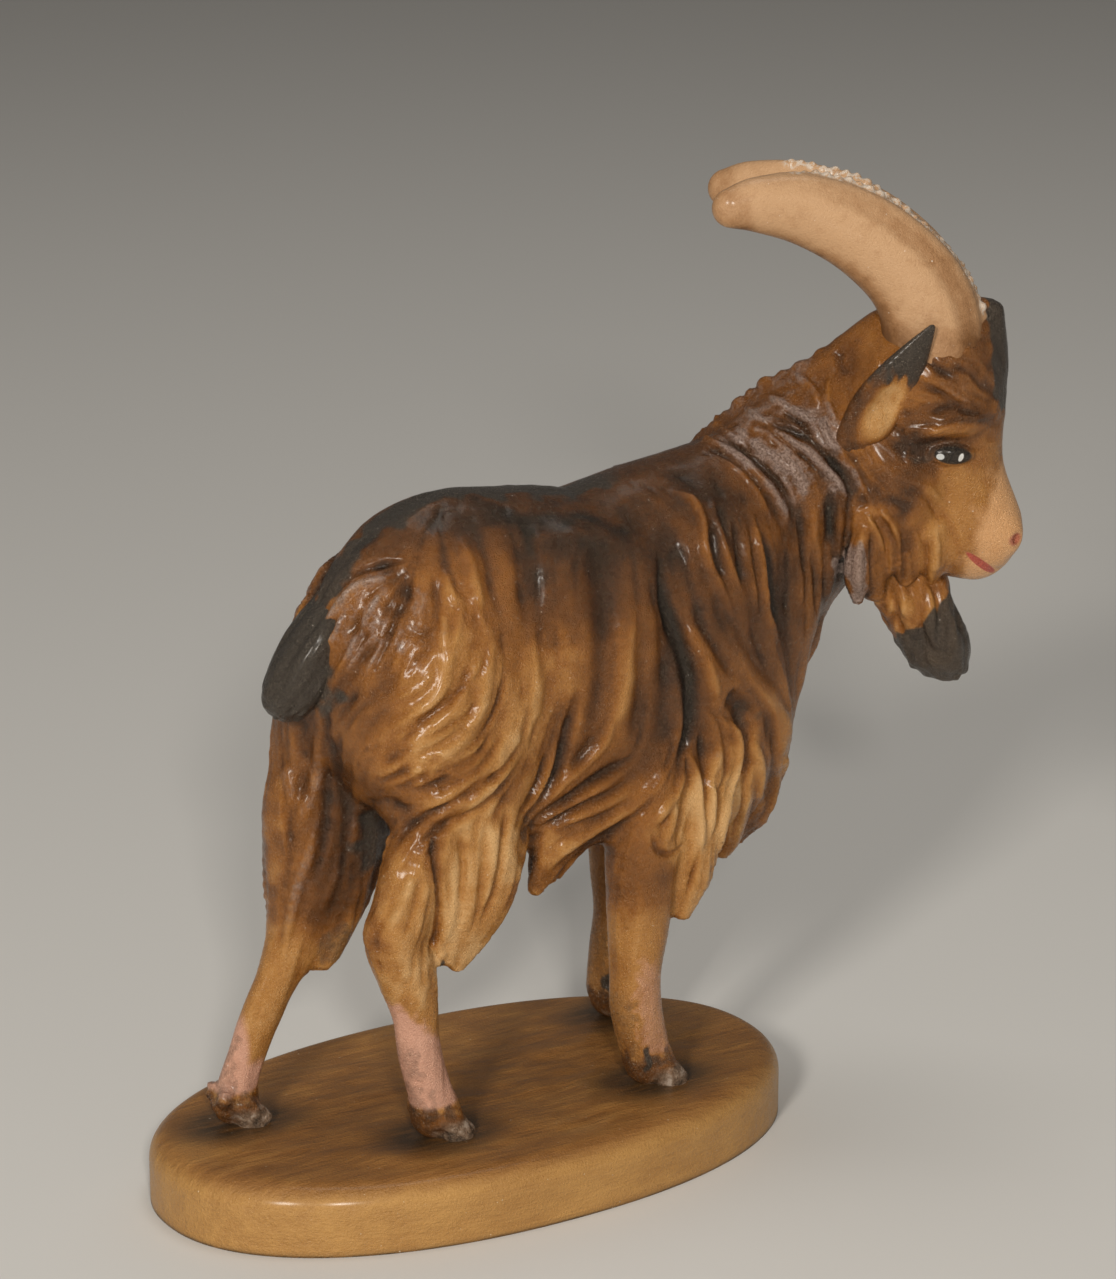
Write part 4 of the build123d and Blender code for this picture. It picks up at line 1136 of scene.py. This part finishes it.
def plinth_material():
    """Golden ochre stain, brushed redder and darker on top, with stain pooled round the hooves."""
    n = Nodes("plinth")
    where = n.place()
    brush = n.noise(n.stretched(where, (0.30, 1.5, 1.0)), 0.45, 5, 0.65)
    cloud = n.noise(where, 0.075, 4, 0.6)
    grain = n.noise(n.stretched(where, (0.08, 1.0, 1.4)), 2.2, 3, 0.6)
    grit = n.noise(where, 3.4, 3, 0.75)
    tone = n.plus(n.plus(n.times(brush, 0.45), n.times(cloud, 0.40)), n.times(grit, 0.16))
    side = n.colours(n.plus(tone, n.swing(grain, 0.25)), PLINTH_SIDE)
    colour = n.mix(n.layer("top"), side, n.colours(tone, PLINTH_TOP))
    pool = n.times(n.layer("pool"), n.remap(brush, 0.25, 0.6, 0.35, 0.92))
    colour = painted_glints(n, where, n.mix(pool, colour, (0.022, 0.015, 0.010)), (0.74, 0.62, 0.46))
    height = n.plus(n.times(brush, 1.6), n.plus(grit, n.times(grain, 0.8)))
    return n.finish(colour, n.remap(brush, 0.3, 0.7, 0.36, 0.55), height, 0.00016)


def bare_wood():
    """The unstained dowels, with a simple grain along them."""
    n = Nodes("dowel")
    grain = n.noise(n.stretched(n.place(), (1, 1, 0.2)), 3.0, 3)
    return n.finish(n.mix(grain, (0.62, 0.42, 0.22), (0.48, 0.30, 0.14)), 0.6, grain, 0.00005)


# ---------------------------------------------------------------- sawing the animal into its pieces
CELL = 0.35
HEAD_CELL = 0.25
SAW_REACH = 1.5  # how far from a glue face the wood is sawn
PLINTH_TOP_Z, SUNK_FEET = 8.0, 0.05
# Each leg: the x, y and top of the box it lies in, then a point and the normal of its glue face.
LEG_TERRITORY = {
    "leg_hind_right": ((-24, 1.2), (-20, -2.0), 46, (-8, -10, 41.3), (0.43, 0, 0.90)),
    "leg_hind_left": ((-36, -3.5), (0.6, 20), 41, (-16, 6, 41), (0, 0, 1)),
    "leg_front_right": ((11, 26.4), (-20, -5.2), 37, (18, -10, 37), (0, 0, 1)),
    "leg_front_left": ((20, 36), (5.2, 20), 37, (27, 9, 37), (0, 0, 1)),
}


def above_neck(p):
    """How far a point lies on the head's side of the neck joint."""
    return np.dot(p - NECK_POINT, NECK_NORMAL)


def below(territory):
    """Tells whether a point lies in a leg's territory, under its glue face."""
    (x0, x1), (y0, y1), top, point, normal = territory
    return lambda p: x0 < p[0] < x1 and y0 < p[1] < y1 and p[2] < top and np.dot(p - point, normal) < 0


def near_seat(territory):
    """Tells whether a point is close enough to a leg's glue face to be sawn."""
    (x0, x1), (y0, y1), _, point, normal = territory
    return lambda p: x0 < p[0] < x1 and y0 < p[1] < y1 and abs(np.dot(p - point, normal)) < SAW_REACH


def body():
    """Trunk and neck: everything that is neither head nor leg."""
    legs_below = [below(t) for t in LEG_TERRITORY.values()]
    cuts = [(t[3], t[4], near_seat(t)) for t in LEG_TERRITORY.values()]
    cuts.append((NECK_POINT, NECK_NORMAL, lambda p: abs(above_neck(p)) < SAW_REACH and p[2] > 58))

    def keep(p):
        return not (p[2] > 58 and above_neck(p) > 0) and not any(t(p) for t in legs_below)

    points, quads, layers = dressed((-33, -20, 22), (60, 20, 98), CELL)
    piece("carved_body", points, quads, coat("coat"), "body", layers, cuts, keep)


def four_legs():
    """The legs, cut off at their glue faces above and just under the plinth's top."""
    material, foot = coat("leg"), PLINTH_TOP_Z - SUNK_FEET
    for name, territory in LEG_TERRITORY.items():
        (x0, x1), (y0, y1), top, point, normal = territory
        low = (max(x0, -34) - 3, max(y0, -17) - 3, 5.6)
        points, quads, layers = dressed(low, (x1 + 3, min(y1, 16) + 3, top + 4), CELL * 0.8)
        cuts = [(point, normal, near_seat(territory)), ((0, 0, foot), UP, lambda p: p[2] < 10)]
        inside = below(territory)
        piece("carved_" + name, points, quads, material, name, layers, cuts,
              lambda p, inside=inside: inside(p) and p[2] > foot)


def goat_head():
    """Skull and face, forward of the neck joint."""
    points, quads, layers = dressed((38, -26, 58), (70, 8, 100), HEAD_CELL)
    cuts = [(NECK_POINT, NECK_NORMAL, lambda p: abs(above_neck(p)) < SAW_REACH)]
    piece("carved_head", points, quads, coat("head", face=True), "head", layers, cuts,
          lambda p: above_neck(p) > 0)


body()
four_legs()
goat_head()

# ---------------------------------------------------------------- small pieces glued on
SMALL = 0.24


def glued(clay, sunk=0.7, cell=SMALL):
    """A small piece's skin and normals: its own clay less the animal's, below the depth it is sunk by."""
    low = np.min([step[0][1] for step in clay.steps], axis=0) - 2
    high = np.max([step[0][2] for step in clay.steps], axis=0) + 2
    values = np.maximum(clay.field(low, high, cell), -(goat.field(low, high, cell) + sunk))
    points, quads = surface(values.astype(np.float32), low, cell)
    return points, quads, normals_of(points, quads)


def painted(points, **known):
    """Shader layers for a small piece; those not given are blank."""
    return {key: np.broadcast_to(np.asarray(known.get(key, 0.0), float), len(points)) for key in MASKS}


def horn(side, word):
    """A scimitar with a raised, knobbed front edge and a shallow hollow behind it."""
    clay = Clay()
    path = head_rod((4.2, side * 2.9, 91.8, 6.0), (3.4, side * 3.1, 96.6, 5.6), (0.8, side * 3.3, 101.0, 5.2),
                    (-4.4, side * 3.5, 105.4, 4.8), (-10.5, side * 4.0, 108.2, 4.2),
                    (-16.2, side * 5.2, 109.1, 3.2), (-19.4, side * 6.2, 108.9, 2.3))
    clay.add(limb(path, LEFT, 0.66, 6), 1)
    edge = head_rod((9.2, side * 1.8, 95.2, 1.3), (6.0, side * 1.7, 100.7, 1.3),
                    (0.8, side * 1.7, 105.8, 1.2), (-5.4, side * 2.0, 110.2, 1.0),
                    (-12.5, side * 3.4, 111.7, 0.7), (-17.2, side * 5.0, 111.1, 0.4))
    clay.add(limb(edge, LEFT, 0.8, 6), 1.0)
    run, centre = curve(edge, 12), head(-7, side * 4.2, 96)
    nodules = []
    for k, size in zip(range(1, 48, 2), RNG.uniform(0.38, 0.66, 24)):
        out = unit(run[k, :3] - centre)
        sway = LEFT * (0.3 * side + RNG.uniform(-0.45, 0.45))
        nodules.append((run[k, :3] + out * (run[k, 3] - 0.05) + sway, size))
        clay.add(ball(nodules[-1][0], (size, size, size)), 0.25)
    points, quads, normals = glued(clay)
    middle = curve(path, 24)
    near = ((points[:, None] - middle[None, :, :3]) ** 2).sum(2).argmin(1)
    beyond = dots(points - middle[near, :3], unit(middle[near, :3] - centre)) / middle[near, 3]
    along = near / (len(middle) - 1)
    dish = ramp(beyond, 0.30, 0.60) * ramp(beyond, 1.0, 0.75)
    # Darker in the hollow and under the curve, partly the wood's own brown and partly painted shade; browner
    # wood at the root and the tip.
    browning_and_painted_shade = 0.30 * dish * ramp(along, 0.75, 0.3) + 0.5 * ramp(beyond, -0.5, -1.0)
    browning_and_painted_shade += 0.42 * ramp(points[:, 2], 97.5, 92.0) + 0.25 * ramp(along, 0.86, 1.0)
    rings = [ramp(np.abs(np.linalg.norm(points - c, axis=1) - r - 0.1), 0.4, 0.1) for c, r in nodules]
    points = points - normals * (0.3 * dish * ramp(along, 0.9, 0.5))[:, None]
    piece("carved_horn_" + word, points, quads, horn_material(), "horn_" + word,
          {"browning_and_painted_shade": browning_and_painted_shade, "ridge": np.max(rings, axis=0)})


def ear(side, word, material):
    """A pointed leaf, hollowed on its outer face, with a peg's thickness where it joins the head."""
    root, tip = head(-5.9, side * 5.6, 79.6), head(3.7, side * 8.3, 96.0)
    axis, length = unit(tip - root), np.linalg.norm(tip - root)
    out = unit(np.cross(axis, np.cross(LEFT * side + FORWARD * 0.45, axis)))
    wide = np.cross(axis, out)

    def leaf(lift, *rows):
        return [(*(root + axis * share * length + out * lift), r) for share, r in rows]

    clay = Clay()
    blade = leaf(0, (-0.05, 1.8), (0.16, 2.9), (0.38, 3.6), (0.58, 3.0), (0.80, 1.7), (0.97, 0.5))
    clay.add(limb(blade, out, 0.42), 1)
    clay.cut(limb(leaf(1.7, (0.24, 1.2), (0.36, 2.1), (0.50, 2.2), (0.70, 1.2), (0.86, 0.4)), out, 0.5), 0.8)
    clay.add(head_ball(-2.7, side * 6.2, 83.7, (2.0, 1.7, 2.0)), 1.5)
    points, quads, normals = glued(clay, 0.7, SMALL * 0.85)
    along = (points - root) @ axis / length
    off = np.abs((points - root) @ wide)
    streaks = static(points * np.array([1, 1, 0.35]), 0.6)
    bowl = np.hypot(off / 2.3, (along - 0.40) * length / 4.6) + 0.12 * streaks
    bowl = ramp(normals @ out, 0.0, 0.5) * ramp(bowl, 1.25, 0.6)
    dark = 0.9 * ramp(along + 0.05 * streaks, 0.52, 0.82) * (1 - 0.4 * bowl)
    dark = np.clip(dark + 0.45 * (1 - bowl) * ramp(along, 0.30, 0.60), 0, 1)
    tone = 0.34 + 0.56 * bowl + 0.07 * streaks - 0.1 * ramp(along, 0.2, 0.0)
    piece("carved_ear_" + word, points, quads, material, "ear_" + word,
          painted(points, tone=tone, black=dark))


def combed(points, normals, noise, depth):
    """The points moved out and in by a noise drawn out along the hair."""
    return points + normals * (depth * noise)[:, None]


def beard():
    """A blunt goatee of hanging locks, black at its tip and front."""
    clay = Clay()
    rod = head_rod((1.4, 0, 66.5, 4.8), (2.4, 0, 62.6, 4.5), (4.0, 0, 58.8, 4.2), (6.0, 0, 55.2, 3.9),
                   (7.4, 0, 53.2, 2.4))
    clay.add(limb(rod, LEFT, 0.8, 4), 1)
    locks = [(-1.4, 2.4, 65, 59, 1.4), (0.6, 3.2, 65, 56.5, 3.0), (3.2, 3.4, 64, 54.4, 3.4),
             (5.4, 2.6, 63, 52.6, 3.0), (3.0, 1.0, 60, 53.6, 3.6)]
    for u, v, top, foot, sway in locks:
        for side in BOTH:
            lock = head_rod((u, side * v * 0.8, top, 1.3),
                            (u + sway * 0.4 - 0.4, side * v, (top * 2 + foot) / 3, 1.35),
                            (u + sway * 0.6 + 0.3, side * v * 0.95, (top + foot * 2) / 3, 1.2),
                            (u + sway, side * v * 0.7, foot, 0.5))
            clay.add(limb(lock), 0.5)
    points, quads, normals = glued(clay, 0.5)
    u, v, w = in_head(points).T
    noise = static(points @ np.diag([1, 1, 0.3]) + 9, 0.7)
    points = combed(points, normals, noise, 0.14)
    layers = painted(points, tone=0.50 + 0.10 * noise + 0.12 * ramp(np.abs(v), 1.5, 3.6),
                     black=0.95 * ramp(57.9 + 0.95 * (u - 2.2) - w + 0.5 * noise, -0.9, 0.9))
    piece("carved_beard", points, quads, coat("beard"), "beard", layers)


def tail():
    """A short black tail, combed down along the rump."""
    clay = Clay()
    core = [(-15.6, 0, 68.6, 3.2), (-18.6, 0, 65.4, 3.5), (-21.4, 0, 62.0, 3.5), (-23.2, 0, 59.8, 3.0)]
    clay.add(limb(core, ACROSS, 1.0, 4), 1)
    for y in (-2.2, 0.0, 2.2):
        clay.add(limb([(-16.4, y * 0.8, 70.4, 1.2), (-21.0, y, 65.4, 1.3), (-24.2, y * 0.8, 60.4, 1.0)]), 0.8)
    points, quads, normals = glued(clay)
    lie = unit((-0.62, 0, -0.78))
    square = np.array([lie[2], 0, -lie[0]])
    noise = static(np.column_stack([points @ lie * 0.16, points[:, 1], points @ square]), 0.5)
    points = combed(points, normals, noise, 0.10)
    layers = painted(points, tone=0.2, black=0.9 - 0.25 * ramp(noise, 0.6, 1.6),
                     pearl=0.1 + 0.35 * ramp(noise, 0.5, 1.4))
    piece("carved_tail", points, quads, coat("tail"), "tail", layers)


ear_material = coat("ear")
for side, word in zip(BOTH, ("right", "left")):
    horn(side, word)
    ear(side, word, ear_material)
beard()
tail()


# ---------------------------------------------------------------- plinth and dowels
def plinth():
    """Rings of a superellipse: underside, wall, rounded edge, then the top drawn in to the centre."""
    a, b, thick, edge, power = 40.0, 23.0, PLINTH_TOP_Z, 3.0, 2.18
    turns = 300
    angle = 2 * math.pi * np.arange(turns) / turns
    c, s = np.cos(angle), np.sin(angle)
    ring = np.stack([np.sign(c) * np.abs(c) ** (2 / power), np.sign(s) * np.abs(s) ** (2 / power)], 1)
    rows = [(0.45, 0.0), (0.0, 0.0), (0.0, 0.35)] + [(0.0, z) for z in np.linspace(0.8, thick - edge, 10)]
    for t in np.linspace(0.1, 1, 10) * math.pi / 2:
        rows.append((edge * (1 - math.cos(t)), thick - edge * (1 - math.sin(t))))
    points = [np.column_stack([ring * (a - inset, b - inset), np.full(turns, z)]) for inset, z in rows]
    for share in np.linspace(0.97, 0.0, 60)[:-1]:
        points.append(np.column_stack([ring * (a - edge, b - edge) * share, np.full(turns, thick)]))
    rings = len(points)
    points = np.vstack([*points, [[0, 0, thick], [0, 0, 0]]])
    top, bottom = rings * turns, rings * turns + 1
    faces = []
    for i in range(turns):
        j = (i + 1) % turns
        faces += [(r + i, r + j, r + turns + j, r + turns + i) for r in range(0, top - turns, turns)]
        faces += [(top - turns + i, top - turns + j, top), (j, i, bottom)]
    x, y, z = points.T
    pool = np.zeros(len(points))
    for hx, hy in HOOVES:
        pool = np.maximum(pool, ramp(np.hypot((x - hx + 0.8) / 6.5, (y - hy) / 4.6), 1.7, 0.6))
    # The same layer also darkens the plinth's underside and its bottom edge.
    pool = np.maximum(pool * ramp(z, 7.5, 7.9), 0.9 * ramp(z, 0.5, 0.1))
    inner = ramp(np.hypot(x / (a - edge), y / (b - edge)), 1.02, 0.8) * ramp(z, 7.9, 8.0)
    uneven = 0.12 * static(points * np.array([0.7, 1.0, 0.0]), 4.2)
    uneven += 0.07 * static(points * np.array([0.6, 1.0, 0.0]), 1.7)
    points[:, 2] += inner * (1 - 0.8 * pool) * uneven
    layers = {"top": ramp(points[:, 2], 6.2, 7.9), "pool": pool}
    piece("stained_plinth", points, faces, plinth_material(), "plinth", layers)


plinth()
bare = bare_wood()
HIDDEN_PEGS = ("neck_dowel", "tail_dowel", "beard_dowel", "leg_dowels", "foot_dowels", "horn_dowels",
               "ear_pegs")
for node in HIDDEN_PEGS:
    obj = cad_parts[node]
    obj.data.materials.clear()
    obj.data.materials.append(bare)

# ---------------------------------------------------------------- studio
scene = bpy.context.scene
scene.view_settings.view_transform = "Standard"
# Lamps: place, watts, size and colour.
LAMPS = {
    "key": ((-0.62, -0.52, 0.42), 4.4, 0.12, (1.0, 0.94, 0.85)),
    "flash": ((-0.30, -0.62, 0.34), 2.4, 0.06, (1.0, 0.95, 0.87)),
    "top": ((0.15, 0.10, 0.9), 1.8, 0.4, (1.0, 0.96, 0.90)),
}


def placed(name, data, place, way):
    """A lamp or camera at a place, looking along a direction."""
    obj = bpy.data.objects.new(name, data)
    obj.location = place
    obj.rotation_mode = "QUATERNION"
    obj.rotation_quaternion = way.to_track_quat("-Z", "Y")
    scene.collection.objects.link(obj)
    return obj


def studio():
    """Pale floor, dim warm sky and the lamps."""
    mesh = bpy.data.meshes.new("floor")
    mesh.from_pydata([(-3, -3, 0), (3, -3, 0), (3, 3, 0), (-3, 3, 0)], [], [(0, 1, 2, 3)])
    floor = bpy.data.objects.new("floor", mesh)
    scene.collection.objects.link(floor)
    n = Nodes("floor")
    n.surface.inputs["Base Color"].default_value = (0.66, 0.655, 0.64, 1)
    n.surface.inputs["Roughness"].default_value = 0.85
    mesh.materials.append(n.material)
    scene.world = bpy.data.worlds.new("studio")
    scene.world.use_nodes = True
    background = scene.world.node_tree.nodes["Background"]
    background.inputs[0].default_value = (1.0, 0.94, 0.86, 1)
    background.inputs[1].default_value = 0.13
    target = Vector((0.012, 0, 0.06))
    for name, (place, energy, size, colour) in LAMPS.items():
        lamp = bpy.data.lights.new(name, "AREA")
        lamp.energy, lamp.size, lamp.color = energy, size, colour
        placed(name, lamp, place, target - Vector(place))


def camera():
    """A long lens on the goat's right rear quarter, a little above it."""
    azimuth, elevation, distance = math.radians(-32.0), math.radians(17.02), 0.45
    back = Vector((math.sin(azimuth) * math.cos(elevation), -math.cos(azimuth) * math.cos(elevation),
                   math.sin(elevation)))
    lens = bpy.data.cameras.new("camera")
    lens.lens, lens.clip_start, lens.clip_end = 110.4, 0.01, 20
    scene.camera = placed("camera", lens, Vector((0.01188, 0, 0.06049)) + back * distance, -back)


studio()
camera()
